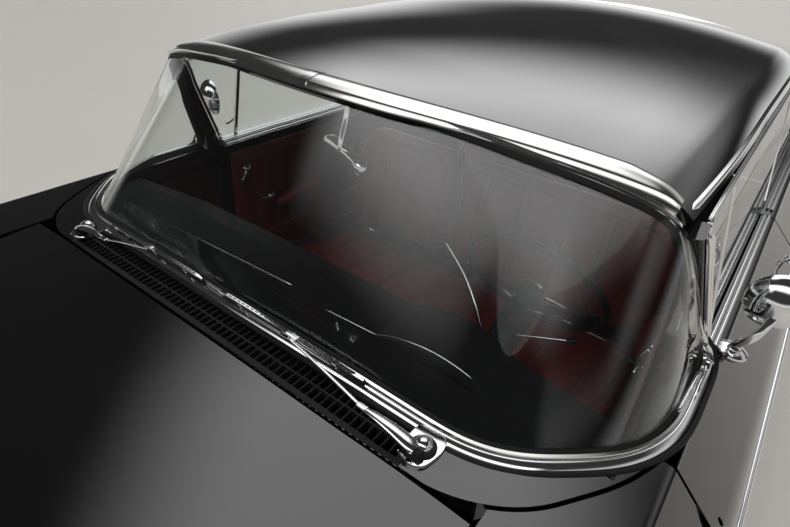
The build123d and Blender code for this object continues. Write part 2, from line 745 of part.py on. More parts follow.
# Cowl: the crowned panel, firewall, kick panels and hinge pillars
with BuildPart() as cowl_hollow:
    hollow_y = (FIREWALL_Y + 20, COWL_INNER_Y - 14)
    add(block(-COWL_INNER_X, COWL_INNER_X, *hollow_y, COWL_BASE_Z - 5, COWL_CROWN_Z - 32))
    add(block(-COWL_INNER_X, COWL_INNER_X, COWL_INNER_Y, 0, COWL_BASE_Z - 5, 1100))
hinge_post_plan = [
    (780, FENDER_END_Y - 60),
    (900, FENDER_END_Y - 60),
    (900, HINGE_Y + 9),
    (780, HINGE_Y + 9),
]
with BuildPart() as cowl:
    add(cowl_band)
    add(cowl_reach.part, mode=Mode.INTERSECT)
    add(cowl_hollow.part, mode=Mode.SUBTRACT)
    intake_x = GRILLE_HALF_X + 1
    add(block(-intake_x, intake_x, COWL_FRONT_Y - 5, GRILLE_REAR_Y, 900, 1100), mode=Mode.SUBTRACT)
    floor_top = FLOOR_Z + FLOOR_T
    add(block(-COWL_INNER_X, COWL_INNER_X, FIREWALL_Y, FIREWALL_Y + 16, floor_top, COWL_BASE_Z + 20))
    for side in (-1, 1):
        ordered = sorted((side * (COWL_INNER_X - 14), side * (COWL_INNER_X + 6)))
        add(block(*ordered, FIREWALL_Y, FENDER_END_Y, FLOOR_Z + FLOOR_T, COWL_BASE_Z))
        post_plan = [(side * x, y) for x, y in hinge_post_plan]
        add(plan_prism(post_plan, FLOOR_Z + FLOOR_T, 880))
        riser = sorted((side * 780, side * 840))
        add(block(*riser, FENDER_END_Y - 60, HINGE_Y + 9, 870, COWL_BASE_Z + 5))
        sweep = post(side * HINGE_X, HINGE_Y, 200, 1100, DOOR_SWEEP_R + 0.5)
        add(sweep, mode=Mode.SUBTRACT)
        for hinge_z in HINGE_ZS:
            low = hinge_z - HINGE_H * 1.5 - 1
            high = hinge_z - HINGE_H / 2 - 0.5
            leaf = sorted((side * 872, side * HINGE_X))
            add(block(*leaf, HINGE_Y - HINGE_EYE_R, HINGE_Y + 5, low, high))
            add(post(side * HINGE_X, HINGE_Y, low, high, HINGE_EYE_R))
            add(post(side * HINGE_X, HINGE_Y, low, hinge_z + HINGE_H / 2 + 6, HINGE_PIN_R))
    add(hood_sweep, mode=Mode.SUBTRACT)
    add(long_bar(FIREWALL_Y - 20, FIREWALL_Y + 40, 0, TUNNEL_Z, TUNNEL_R + FLOOR_T), mode=Mode.SUBTRACT)
keep(cowl.part, "cowl")

# Cowl grille: a pressed frame with fore-and-aft ribs over the air intake
grille_pitch = 2 * (GRILLE_HALF_X - 12) / (GRILLE_RIBS - 1)
with BuildPart() as cowl_grille:
    add(crowned_band(PANEL_EDGE_X, COWL_CROWN_Z - 24, COWL_FRONT_Y, GRILLE_REAR_Y))
    add(block(-GRILLE_HALF_X, GRILLE_HALF_X, -1200, -900, 900, 1100), mode=Mode.INTERSECT)
    add(block(-GRILLE_HALF_X + 12, GRILLE_HALF_X - 12, COWL_FRONT_Y + 12, GRILLE_REAR_Y - 12, 900, 1100),
        mode=Mode.SUBTRACT)
    with BuildSketch(Plane.XY.offset(COWL_CROWN_Z - 24)):
        with Locations((0, (COWL_FRONT_Y + GRILLE_REAR_Y) / 2)):
            with GridLocations(grille_pitch, 1, GRILLE_RIBS, 1):
                Rectangle(GRILLE_RIB_T, GRILLE_REAR_Y - COWL_FRONT_Y - 20)
            Rectangle(2 * GRILLE_HALF_X - 20, 4)
    extrude(amount=14)
    add(hood_sweep, mode=Mode.SUBTRACT)
keep(cowl_grille.part, "cowl_grille")

# Frame: two rails with crossmembers, and towers for the front springs
rail_view = [(y, z) for y, z in RAIL_TOP] + [(y, z - RAIL_H) for y, z in reversed(RAIL_TOP)]
# Crossmembers. Columns: y, half length, bottom z, top z, half width across the car
CROSS = [
    (-2450, 40, 330, 400, RAIL_IN_X + 5),
    (FRONT_AXLE_Y, 140, 217, 297, RAIL_OUT_X),
    (-300, 45, 150, 210, RAIL_IN_X + 5),
    (600, 45, 150, 210, RAIL_IN_X + 5),
    (1640, 40, 350, 410, RAIL_IN_X + 5),
    (2420, 40, 330, 415, RAIL_IN_X + 5),
]
with BuildPart() as frame:
    for side in (-1, 1):
        low, high = sorted((side * RAIL_IN_X, side * RAIL_OUT_X))
        add(side_prism(rail_view, low, high))
        tower_top = TYRE_R + ARM_RISE + ARM_T / 2
        add(block(low, high, FRONT_AXLE_Y - 130, FRONT_AXLE_Y + 130, 380, tower_top))
        for y, z_top in ((640, 248), (1960, 410)):
            spring_eye = sorted((side * RAIL_OUT_X, side * (RAIL_OUT_X + 110)))
            add(block(*spring_eye, y - 25, y + 25, z_top - 75, z_top - 20))
    for y, half_y, low, high, half_x in CROSS:
        add(block(-half_x, half_x, y - half_y, y + half_y, low, high))
keep(frame.part, "frame")

# Floor, rockers and rear wheel houses
floor_line = [(FIREWALL_Y, RAIL_TOP[2][1]), *RAIL_TOP[3:7], (2495, RAIL_TOP[7][1])]
floor_view = floor_line + [(y, z + FLOOR_T) for y, z in reversed(floor_line)]
front_floor = block(-FLOOR_X - 25, FLOOR_X + 25, FIREWALL_Y, RAIL_TOP[3][0], 100, 1000)
rear_floor = block(-HOUSE_X - 5, HOUSE_X + 5, RAIL_TOP[3][0] - 1, 2495, 100, 1000)
with BuildPart() as rocker:
    add(mid_volume)
    add(block(FLOOR_X, OUT_X, HINGE_Y + 9, rear_edge + GAP - 60, 200, ROCKER_TOP_Z), mode=Mode.INTERSECT)
with BuildPart() as floor_reach:
    add(front_floor)
    add(rear_floor)
with BuildPart() as house:
    add(cross_bar(HOUSE_X, 925, REAR_AXLE_Y, TYRE_R, HOUSE_R))
    add(cross_bar(HOUSE_X + 10, 930, REAR_AXLE_Y, TYRE_R, HOUSE_R - 8), mode=Mode.SUBTRACT)
    add(block(0, OUT_X, 0, 2600, -200, TYRE_R - 60), mode=Mode.SUBTRACT)
    add(block(0, HOUSE_X + 11, 0, 2600, -200, RAIL_TOP[4][1]), mode=Mode.SUBTRACT)
    add(quarter.part, mode=Mode.SUBTRACT)
with BuildPart() as floor_pan:
    add(side_prism(floor_view, -FLOOR_X - 25, FLOOR_X + 25))
    add(floor_reach.part, mode=Mode.INTERSECT)
    add(long_bar(FIREWALL_Y, TUNNEL_END_Y, 0, TUNNEL_Z, TUNNEL_R + FLOOR_T))
    add(long_bar(FIREWALL_Y - 1, TUNNEL_END_Y + 1, 0, TUNNEL_Z, TUNNEL_R), mode=Mode.SUBTRACT)
    add(block(-160, 160, FIREWALL_Y - 1, TUNNEL_END_Y + 1, 0, FLOOR_Z), mode=Mode.SUBTRACT)
    add(mirrored_pair(rocker.part))
    add(mirrored_pair(house.part))
keep(floor_pan.part, "floor_pan")

# Inner fenders and radiator support
apron_line = [
    (APRON_X, 380),
    (APRON_X, SHELF_Z),
    (PANEL_EDGE_X + FLANGE_T, SHELF_Z),
    (PANEL_EDGE_X + FLANGE_T, SHELF_Z - FLANGE_T),
    (APRON_X + FLANGE_T, SHELF_Z - FLANGE_T),
    (APRON_X + FLANGE_T, 380),
]
with BuildPart() as apron:
    add(cross_prism(apron_line, -2485, FIREWALL_Y))
    add(block(400, 500, FRONT_AXLE_Y - 150, FRONT_AXLE_Y + 150, 300, 500), mode=Mode.SUBTRACT)
with BuildPart() as inner_fenders:
    add(mirrored_pair(apron.part))
    add(block(-456, 456, -2400, -2380, RADIATOR_LOW_Z, 800))
    add(block(-380, 380, -2405, -2375, 460, 780), mode=Mode.SUBTRACT)
    for side in (-1, 1):
        middle = side * LID_PIVOT_X
        arm = block(middle - 8, middle + 8, hood_y - LID_EYE_R, hood_y + LID_EYE_R, SHELF_Z, hood_z)
        add(arm)
        add(cross_bar(middle - 8, middle + 8, hood_y, hood_z, LID_EYE_R))
        pin = sorted((middle - side * 30, middle + side * 8))
        add(cross_bar(*pin, hood_y, hood_z, LID_PIN_R))
keep(inner_fenders.part, "inner_fenders")

# Nose and tail panels
nose_arc = [(-NOSE_X, 815), (0, 860), (NOSE_X, 815)]
tail_arc = [(-NOSE_X, 874), (0, 884), (NOSE_X, 874)]
with BuildPart() as nose_panel:
    add(arc_prism(nose_arc, 430, -2540, -2500))
    add(block(-520, 520, -2550, -2490, 500, 770), mode=Mode.SUBTRACT)
    add(mirrored_pair(fender.part), mode=Mode.SUBTRACT)
    add(mirrored_pair(long_bar(-2600, -2480, LAMP_XS[0], LAMP_ZS, LAMP_R + AIR)), mode=Mode.SUBTRACT)
    for side in (-1, 1):
        add(block(*sorted((side * 400, side * 440)), -2500, -2485, 440, 480))
keep(nose_panel.part, "nose_panel")
with BuildPart() as tail_panel:
    add(arc_prism(tail_arc, 430, 2497, 2540))
    add(mirrored_pair(quarter.part), mode=Mode.SUBTRACT)
    for side in (-1, 1):
        add(long_bar(2505, 2600, side * TAIL_XS[0], TAIL_Z, TAIL_R + AIR), mode=Mode.SUBTRACT)
keep(tail_panel.part, "tail_panel")

# Front grille: a surround with horizontal bars and uprights
with BuildPart() as grille:
    add(block(-519.7, 519.7, -2536, -2506, 500, 770))
    add(block(-505, 505, -2540, -2500, 514, 756), mode=Mode.SUBTRACT)
    for bar_z in (560, 606, 652, 698, 736):
        add(block(-510, 510, -2534, -2514, bar_z - 6, bar_z + 6))
    for bar_x in range(-480, 481, 60):
        add(block(bar_x - 4, bar_x + 4, -2524, -2512, 508, 762))
keep(grille.part, "grille")


def lamp(x, y, z, facing, radius, depth, bow):
    """Round lamp: a drum with a bowed lens, revolved about its own axis."""
    with BuildPart() as unit:
        with BuildSketch(Plane(origin=(x, y, z), x_dir=(0, facing, 0), z_dir=(1, 0, 0))):
            with BuildLine():
                Line((-depth, 0), (bow, 0))
                ThreePointArc((bow, 0), (bow * 0.76, radius * 0.5), (0, radius))
                Polyline((0, radius), (-depth, radius), (-depth, 0))
            make_face()
        revolve(axis=Axis((x, y, z), (0, 1, 0)))
    return unit.part


with BuildPart() as headlamps:
    for lamp_x in LAMP_XS:
        add(mirrored_pair(lamp(lamp_x, -2538, LAMP_ZS, -1, LAMP_R, 32.7, 16)))
keep(headlamps.part, "headlamps")
with BuildPart() as taillamps:
    for lamp_x in TAIL_XS:
        add(mirrored_pair(lamp(lamp_x, 2542, TAIL_Z, 1, TAIL_R, 36.7, 26)))
keep(taillamps.part, "taillamps")

# Bumpers. Half outlines in plan from the middle, and their corner radii
FRONT_BAR = [(0, FRONT_Y), (560, FRONT_Y), (994, -2560), (994, -2440)]
REAR_BAR = [(0, REAR_Y), (560, REAR_Y), (980, 2580), (980, 2440)]
for label, bar, arm_y in (("front_bumper", FRONT_BAR, -2560), ("rear_bumper", REAR_BAR, 2560)):
    outward = -1 if arm_y < 0 else 1
    with BuildPart() as bumper:
        loft(sections=[
            bent_face(372, [(x, y - outward * 14) for x, y in bar], (900, 75), 36),
            bent_face(455, bar, (900, 75), 50),
            bent_face(540, [(x, y - outward * 14) for x, y in bar], (900, 75), 36),
        ])
        for side in (-1, 1):
            face_y = bar[0][1]
            back_y = face_y - outward * 40
            guard_x = sorted((side * 330, side * 372))
            arm_x = sorted((side * 392, side * 438))
            add(block(*guard_x, *sorted((back_y, face_y)), 372, 575))
            add(block(*arm_x, *sorted((arm_y + outward * 15, back_y)), 385, 445))
    keep(bumper.part, label)

# Engine with its gearbox, and the radiator
with BuildPart() as engine:
    add(block(-270, 270, -2010, -1190, 297, 850))
    add(block(-88, 88, -1190, -560, 165, 325))
    add(block(-230, 230, -1190, -1120, 240, 560))
keep(engine.part, "engine")
with BuildPart() as radiator:
    add(block(-400, 400, -2380, -2320, RADIATOR_LOW_Z, 800))
keep(radiator.part, "radiator")

# Seats. Side outlines, from the lower front corner on
SEAT_FOOT_Z = FLOOR_Z + FLOOR_T + AIR
FRONT_CUSHION = [(-300, SEAT_FOOT_Z), (180, SEAT_FOOT_Z), (185, 470), (-330, 520), (-345, 430)]
FRONT_BACKREST = [(100, 520), (190, 430), (290, 560), (300, 925), (262, 955), (215, 945)]
REAR_CUSHION = [(430, SEAT_FOOT_Z), (690, SEAT_FOOT_Z), (845, 492), (840, 500), (440, 505), (425, 470)]
SHELF_FOOT_Z = RAIL_TOP[4][1] + FLOOR_T + AIR
REAR_BACKREST = [
    (851, 500),
    (896, SHELF_FOOT_Z + 2),
    (910, SHELF_FOOT_Z),
    (1060, SHELF_FOOT_Z),
    (1120, 890),
    (1075, 915),
    (1010, 900),
]
with BuildPart() as front_seat:
    add(side_prism(FRONT_CUSHION, -FRONT_SEAT_X, FRONT_SEAT_X))
    fillet(front_seat.edges().filter_by(Axis.X).group_by(Axis.Z)[-1], radius=40)
    add(side_prism(FRONT_BACKREST, -FRONT_SEAT_X, SEAT_SPLIT_X - 4))
    add(side_prism(FRONT_BACKREST, SEAT_SPLIT_X + 4, FRONT_SEAT_X))
    add(long_bar(-500, 500, 0, TUNNEL_Z, TUNNEL_R + FLOOR_T + AIR), mode=Mode.SUBTRACT)
keep(front_seat.part, "front_seat")
with BuildPart() as rear_seat:
    add(side_prism(REAR_CUSHION, -640, 640))
    add(side_prism(REAR_BACKREST, -585, 585))
    add(long_bar(300, TUNNEL_END_Y + 2, 0, TUNNEL_Z, TUNNEL_R + FLOOR_T + AIR), mode=Mode.SUBTRACT)
keep(rear_seat.part, "rear_seat")

# Dash, with a hood over the instruments
dash_view = [
    (COWL_INNER_Y, 640),
    (-780, 640),
    (-745, 760),
    (-700, 930),
    (-705, 950),
    (-770, 958),
    (COWL_INNER_Y, 956),
]
dash_rear_edge = [(-DASH_X, -760), (-500, -712), (0, -700), (500, -712), (DASH_X, -760)]
with BuildPart() as dash:
    add(side_prism(dash_view, -DASH_X, DASH_X))
    with BuildSketch(station(-690)):
        with BuildLine():
            ThreePointArc((215, 930), (385, 985), (555, 930))
            Line((555, 930), (215, 930))
        make_face()
    extrude(amount=170)
    add(plan_prism([(-DASH_X, -600), *dash_rear_edge, (DASH_X, -600)], 900, 1000), mode=Mode.SUBTRACT)
keep(dash.part, "dash")

# Steering column and wheel, about one raked axis
rake = math.radians(STEER_RAKE)
steer_axis = Vector(0, math.cos(rake), math.sin(rake))
steer_origin = Vector(*STEER_CENTRE)
column_start = steer_origin - steer_axis * 872
column_plane = Plane(origin=column_start, x_dir=(1, 0, 0), z_dir=steer_axis)
wheel_plane = Plane(origin=steer_origin, x_dir=(1, 0, 0), z_dir=steer_axis)
with BuildPart() as steering_column:
    with BuildSketch(column_plane):
        Circle(COLUMN_R)
    extrude(amount=872 - 92)
    with BuildSketch(column_plane):
        Circle(SHAFT_R)
    extrude(amount=872 - 30)
    add(block(340, 430, -810, -782, 590, 640))
    add(block(-COWL_INNER_X, COWL_INNER_X, FIREWALL_Y - 300, FIREWALL_Y + 16, 0, 1000), mode=Mode.SUBTRACT)
keep(steering_column.part, "steering_column")
with BuildPart() as steering_wheel:
    with BuildSketch(Plane(origin=steer_origin, x_dir=(1, 0, 0), z_dir=Vector(1, 0, 0).cross(steer_axis))):
        with Locations((STEER_R, 0)):
            Circle(11)
    revolve(axis=Axis(STEER_CENTRE, steer_axis))
    with BuildSketch(wheel_plane.offset(-8)):
        Rectangle(2 * STEER_R, 26)
    extrude(amount=8)
    with BuildSketch(wheel_plane.offset(-78)):
        Circle(38)
    extrude(amount=86)
    with BuildSketch(wheel_plane.offset(-90)):
        Circle(SHAFT_R + RUN_FIT)
    extrude(amount=62, mode=Mode.SUBTRACT)
keep(steering_wheel.part, "steering_wheel")

# Front suspension, one wishbone above and one below each axle end
with BuildPart() as front_suspension:
    for side in (-1, 1):
        for rise in (ARM_RISE, -ARM_RISE):
            low = TYRE_R + rise - ARM_T / 2
            arm_plan = [
                (side * RAIL_OUT_X, FRONT_AXLE_Y - 125),
                (side * KINGPIN_X, FRONT_AXLE_Y - 30),
                (side * KINGPIN_X, FRONT_AXLE_Y + 30),
                (side * RAIL_OUT_X, FRONT_AXLE_Y + 125),
            ]
            add(plan_prism(arm_plan, low, low + ARM_T))
            add(post(side * KINGPIN_X, FRONT_AXLE_Y, low, low + ARM_T, 30))
        add(post(side * 530, FRONT_AXLE_Y, TYRE_R - ARM_RISE, TYRE_R + ARM_RISE, 45))
        add(post(side * KINGPIN_X, FRONT_AXLE_Y, 0, 800, 10 + AIR), mode=Mode.SUBTRACT)
keep(front_suspension.part, "front_suspension")

with BuildPart() as knuckle:
    half_post = ARM_RISE - ARM_T / 2 - AIR
    add(post(KINGPIN_X, FRONT_AXLE_Y, TYRE_R - half_post, TYRE_R + half_post, KNUCKLE_R))
    add(post(KINGPIN_X, FRONT_AXLE_Y, TYRE_R - ARM_RISE - 12, TYRE_R + ARM_RISE + 12, 10))
    add(cross_bar(KINGPIN_X, WHEEL_X + 58, FRONT_AXLE_Y, TYRE_R, SPINDLE_R))
    add(cross_bar(KINGPIN_X, WHEEL_X - 48, FRONT_AXLE_Y, TYRE_R, 36))
    steer_arm_z = TYRE_R - 50
    add(strut((KINGPIN_X, FRONT_AXLE_Y, steer_arm_z), (KINGPIN_X - 50, FRONT_AXLE_Y + 110, steer_arm_z), 26, 18))
keep(knuckle.part, "knuckle_left")
keep(other_side(knuckle.part), "knuckle_right")

# Rear axle with its leaf springs
with BuildPart() as rear_axle:
    add(cross_bar(-690, 690, REAR_AXLE_Y, TYRE_R, 38))
    add(cross_bar(-WHEEL_X - 58, WHEEL_X + 58, REAR_AXLE_Y, TYRE_R, SPINDLE_R))
    add(cross_bar(-WHEEL_X + 48, WHEEL_X - 48, REAR_AXLE_Y, TYRE_R, 36))
    with Locations((0, REAR_AXLE_Y, TYRE_R)):
        Sphere(135)
    add(long_bar(1060, REAR_AXLE_Y, 0, TYRE_R, 60))
    for side in (-1, 1):
        with BuildSketch(Plane.YZ.offset(side * 525 - 28)):
            with BuildLine():
                ThreePointArc((615, 173), (REAR_AXLE_Y, 292), (1985, 305))
                ThreePointArc((615, 161), (REAR_AXLE_Y, 268), (1985, 293))
                Line((615, 161), (615, 173))
                Line((1985, 293), (1985, 305))
            make_face()
        extrude(amount=56)
        add(block(side * 525 - 30, side * 525 + 30, REAR_AXLE_Y - 60, REAR_AXLE_Y + 60, 268, 330))
    with BuildSketch(Plane(origin=(0, 1062, TYRE_R), x_dir=(1, 0, 0), z_dir=(0, -1622, -67))):
        Circle(PROP_R)
    extrude(amount=1621)
    add(frame.part, mode=Mode.SUBTRACT)
keep(rear_axle.part, "rear_axle")

# Wheels. The rim's half section in its own plane: x outboard from the wheel's middle, r from its axle
# Columns: label, side, y
WHEELS = [
    ("front_left", 1, FRONT_AXLE_Y),
    ("front_right", -1, FRONT_AXLE_Y),
    ("rear_left", 1, REAR_AXLE_Y),
    ("rear_right", -1, REAR_AXLE_Y),
]
rim_well = [(-88, BEAD_R), (88, BEAD_R), (88, BEAD_R - 11), (36, 150), (-30, 150), (-88, BEAD_R - 11)]
rim_lip = [(82, BEAD_R - 1), (82, 197), (89, 197), (89, BEAD_R - 6)]
rim_disc = [
    (14, SPINDLE_R + RUN_FIT),
    (46, SPINDLE_R + RUN_FIT),
    (46, 40),
    (32, 60),
    (34, 152),
    (22, 152),
    (20, 60),
    (14, 60),
]
rim_hub = [(-40, SPINDLE_R + RUN_FIT), (46, SPINDLE_R + RUN_FIT), (46, 42), (-40, 42)]
rim_drum = [(-40, 122), (18, 122), (18, 42), (24, 42), (24, 136), (-40, 136)]
for label, side, axle_y in WHEELS:
    wheel_place = Plane(origin=(side * WHEEL_X, axle_y, TYRE_R), x_dir=(side, 0, 0), z_dir=(0, -side, 0))
    axle = Axis((side * WHEEL_X, axle_y, TYRE_R), (1, 0, 0))
    with BuildPart() as rim:
        for outline in (rim_well, rim_lip, [(-x, r) for x, r in rim_lip], rim_disc, rim_hub, rim_drum):
            with BuildSketch(wheel_place):
                with BuildLine():
                    Polyline(*outline, close=True)
                make_face()
            revolve(axis=axle)
        with BuildSketch(wheel_place):
            with BuildLine():
                ThreePointArc((96, 0), (90, 90), (62, 150))
                ThreePointArc((92, 0), (86, 88), (56, 146))
                Line((92, 0), (96, 0))
                Line((56, 146), (62, 150))
            make_face()
        revolve(axis=axle)
        with BuildSketch(wheel_place):
            with BuildLine():
                Polyline((30, 142), (60, 142), (60, 149), (30, 149), close=True)
            make_face()
        revolve(axis=axle)
    keep(rim.part, f"rim_{label}")
    with BuildPart() as tyre:
        with BuildSketch(wheel_place):
            with BuildLine():
                Polyline((-81.7, 200), (-81.7, BEAD_R), (81.7, BEAD_R), (81.7, 200))
                ThreePointArc((81.7, 200), (TYRE_HALF_W, 268), (84, 338))
                ThreePointArc((84, 338), (0, TYRE_R), (-84, 338))
                ThreePointArc((-84, 338), (-TYRE_HALF_W, 268), (-81.7, 200))
            make_face()
        revolve(axis=axle)
    keep(tyre.part, f"tyre_{label}")

# Wipers: pivots on the cowl, arms, and blades lying at the foot of the windshield
# Columns: pivot x, arm end x, arm end y, blade start x, blade end x
WIPERS = [
    (WIPER_X, 185, -1008, -37, 360),
    (-WIPER_X, -290, -1006, -447, -100),
]
with BuildPart() as wipers:
    for pivot_x, arm_x, arm_y, blade_low, blade_high in WIPERS:
        add(post(pivot_x, WIPER_Y, 970, 1018, 14))
        add(strut((pivot_x, WIPER_Y, 1012), (arm_x, arm_y - 22, 1018), 12, 6))
        add(block(blade_low, blade_high, arm_y - 26, arm_y - 17, 1000, 1020))
    add(cowl_band, mode=Mode.SUBTRACT)
keep(wipers.part, "wipers")

# Door mirrors, on the doors
with BuildPart() as mirror_unit:
    add(post(868, -405, 940, 990, 24))
    add(mid_volume, mode=Mode.SUBTRACT)
    add(strut((868, -405, 985), (900, -395, 1100), 14, 14))
    add(lamp(905, -385, 1105, -1, 62, 14, 22))
keep(mirror_unit.part, "mirror_left")
keep(other_side(mirror_unit.part), "mirror_right")

# Inside mirror, turned to the driver on a stem from the header
with BuildPart() as inside_mirror:
    add(strut((0, -655, 1405), (0, -672, 1240), 12, 8))
    with Locations(Location((0, -672, 1232), (0, 0, -INSIDE_MIRROR_TURN))):
        Box(200, 18, 52)
    add(roof.part, mode=Mode.SUBTRACT)
keep(inside_mirror.part.solids().sort_by(SortBy.VOLUME)[-1], "inside_mirror")
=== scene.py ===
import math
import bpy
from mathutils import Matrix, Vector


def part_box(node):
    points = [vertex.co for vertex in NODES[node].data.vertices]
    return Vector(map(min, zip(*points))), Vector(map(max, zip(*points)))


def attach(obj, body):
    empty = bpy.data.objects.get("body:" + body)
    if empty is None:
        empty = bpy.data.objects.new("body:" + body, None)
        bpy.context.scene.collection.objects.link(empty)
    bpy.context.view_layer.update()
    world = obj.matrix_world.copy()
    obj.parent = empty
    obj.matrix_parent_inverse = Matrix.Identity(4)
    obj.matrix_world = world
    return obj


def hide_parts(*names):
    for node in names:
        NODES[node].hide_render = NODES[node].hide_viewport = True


bl_info = {
    "name": "Classic hardtop car",
    "version": (1, 0, 0),
    "blender": (4, 5, 0),
    "location": "3D View > Sidebar > Hardtop",
    "description": "Dresses the car's frame with paint, bright trim, glass, seats and fittings",
    "category": "Object",
}

import bmesh
import bpy
import numpy as np
from mathutils import Matrix
from mathutils.bvhtree import BVHTree

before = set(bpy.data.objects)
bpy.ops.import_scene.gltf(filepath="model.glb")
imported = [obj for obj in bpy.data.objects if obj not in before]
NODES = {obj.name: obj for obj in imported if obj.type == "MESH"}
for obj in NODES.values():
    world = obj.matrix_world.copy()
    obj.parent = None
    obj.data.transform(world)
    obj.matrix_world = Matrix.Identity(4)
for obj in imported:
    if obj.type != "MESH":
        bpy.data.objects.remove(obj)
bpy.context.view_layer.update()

# Camera: its place, and the directions of its right, down and forward
CAMERA_AT = (0.80047615, -1.57419074, 1.72664438)
CAMERA_RIGHT = (0.7925501221, 0.6066419748, 0.0620469043)
CAMERA_DOWN = (0.3731455117, -0.4019748574, -0.8361690266)
CAMERA_AHEAD = (-0.4823139341, 0.6858583880, -0.5449509524)
FOCAL_PIXELS = 554.807
IMAGE_WIDTH = 790

# Construction sizes shared with the body, in metres
GLASS = 0.006
SHIELD_LOW_Z = 0.960
SHIELD_LOW = [
    (-0.826, -0.330), (-0.826, -0.790), (-0.620, -1.014), (0, -1.020), (0.620, -1.014), (0.826, -0.790),
    (0.826, -0.330),
]
SHIELD_LOW_RADII = (0.300, 0.220, 0.900, 0.220, 0.300)
SHIELD_HIGH_Z = 1.420
SHIELD_HIGH = [
    (-0.714, -0.330), (-0.700, -0.585), (-0.470, -0.660), (0, -0.726), (0.470, -0.660), (0.700, -0.585),
    (0.714, -0.330),
]
SHIELD_HIGH_RADII = (0.090, 0.500, 0.900, 0.500, 0.090)
HEADER_MID_Z = 1.392
BACK_LOW_Z = 0.970
BACK_LOW = [(-0.748, 1.180), (-0.748, 1.400), (-0.560, 1.560), (0.560, 1.560), (0.748, 1.400), (0.748, 1.180)]
BACK_LOW_RADII = (0.160, 0.260, 0.260, 0.160)
BACK_HIGH_Z = 1.410
BACK_HIGH = [(-0.668, 0.960), (-0.668, 1.120), (-0.500, 1.222), (0.500, 1.222), (0.668, 1.120),
             (0.668, 0.960)]
BACK_HIGH_RADII = (0.090, 0.200, 0.200, 0.090)
PILLAR_FOOT = (0.812, -0.440, 0.960)
PILLAR_TOP = (0.730, -0.612, 1.324)
PILLAR_HALF_Y = 0.0232
# Roof. Columns: y, crown z, crease x, crease z, drip x, drip z
ROOF = np.array([
    (-0.750, 1.402, 0.634, 1.340, 0.714, 1.305),
    (-0.690, 1.410, 0.640, 1.347, 0.718, 1.310),
    (-0.430, 1.432, 0.664, 1.374, 0.734, 1.330),
    (0.150, 1.450, 0.668, 1.396, 0.738, 1.334),
    (0.750, 1.446, 0.655, 1.392, 0.738, 1.332),
    (1.215, 1.402, 0.628, 1.350, 0.722, 1.306),
])
ROOF_THICK = 0.024
ROOF_BOW = 0.007
ROOF_REAR_Y = 1.215
# Sail pillar's outline at its foot and at its top, as (x, y)
SAIL_LOW_Z = 0.950
SAIL_LOW = [(0.816, 1.085), (0.786, 1.500), (0.756, 1.500), (0.786, 1.085)]
SAIL_HIGH_Z = 1.330
SAIL_HIGH = [(0.738, 0.860), (0.712, 1.140), (0.680, 1.140), (0.708, 0.860)]
SAIL_COVER_Y = 0.240
COWL_CROWN_Z = 0.992
WIPER_X = 0.517
WIPER_Y = -1.052
# Side glass's outer face low and high, as (x, z)
SIDE_GLASS_LOW = (0.812, 0.975)
SIDE_GLASS_HIGH = (0.741, 1.322)
SPEAR_Z = 0.800
ROCKER_STRIP_Z = 0.290
HANDLE_Z = 0.885
CARPET_Z = 0.2665
TUNNEL_Z, TUNNEL_R = 0.235, 0.150
HEAD_LAMP_X, HEAD_LAMP_Y, HEAD_LAMP_Z, HEAD_LAMP_R = (0.650, 0.818), -2.538, 0.672, 0.073
TAIL_LAMP_X, TAIL_LAMP_Y, TAIL_LAMP_Z, TAIL_LAMP_R = (0.470, 0.740), 2.542, 0.690, 0.062
PLATE_HALF_X, PLATE_HALF_Z = 0.152, 0.076
FAN_Z = 0.620
WHEEL_X = 0.745
TYRE_R = 0.352
FRONT_AXLE_Y = -1.735
REAR_AXLE_Y = 1.250
STEER_CENTRE = np.array((0.385, -0.300, 0.860))
STEER_RAKE = math.radians(30)
HORN_R = 0.128
HORN_SINK = 0.020
# Padding: cloth pressure and frames, remesh step, furthest swelling, reach and width of the seams
PAD_PRESSURE = 4.0
PAD_FRAMES = 20
PAD_VOXEL = 0.012
PAD_CAP = 0.024
PAD_SEWN = 0.006
SEAM_WIDTH = 0.0075
INSERT_CORNER = 0.055


class PaintSettings(bpy.types.PropertyGroup):
    """Colours of the painted and plated surfaces."""

    enamel: bpy.props.FloatVectorProperty(
        name="Enamel", description="Colour of the outer panels", subtype="COLOR", size=3,
        default=(0.0035, 0.0035, 0.004), min=0, max=1)
    chassis: bpy.props.FloatVectorProperty(
        name="Chassis", description="Colour of frame, floor and inner panels", subtype="COLOR", size=3,
        default=(0.02, 0.02, 0.021), min=0, max=1)
    chrome: bpy.props.FloatVectorProperty(
        name="Chrome", description="Tint of plated trim", subtype="COLOR", size=3,
        default=(0.83, 0.83, 0.84), min=0, max=1)
    polish: bpy.props.FloatProperty(
        name="Polish", description="Roughness of fresh plating", default=0.035, min=0.0, max=0.4,
        subtype="FACTOR")


class CabinSettings(bpy.types.PropertyGroup):
    """Colours and padding of the cabin."""

    vinyl: bpy.props.FloatVectorProperty(
        name="Vinyl", description="Colour of seats and door panels", subtype="COLOR", size=3,
        default=(0.155, 0.014, 0.017), min=0, max=1)
    carpet: bpy.props.FloatVectorProperty(
        name="Carpet", description="Colour of the floor covering", subtype="COLOR", size=3,
        default=(0.055, 0.007, 0.009), min=0, max=1)
    pleat_depth: bpy.props.FloatProperty(
        name="Pleat depth", description="Depth of the sewn channels", default=0.007, min=0.0, max=0.02,
        unit="LENGTH")


class StageSettings(bpy.types.PropertyGroup):
    """Colour and size of the floor."""

    floor: bpy.props.FloatVectorProperty(
        name="Floor", description="Colour of the floor", subtype="COLOR", size=3,
        default=(0.72, 0.69, 0.64), min=0, max=1)
    floor_size: bpy.props.FloatProperty(
        name="Floor size", description="Width of the floor", default=80.0, min=10.0, unit="LENGTH")


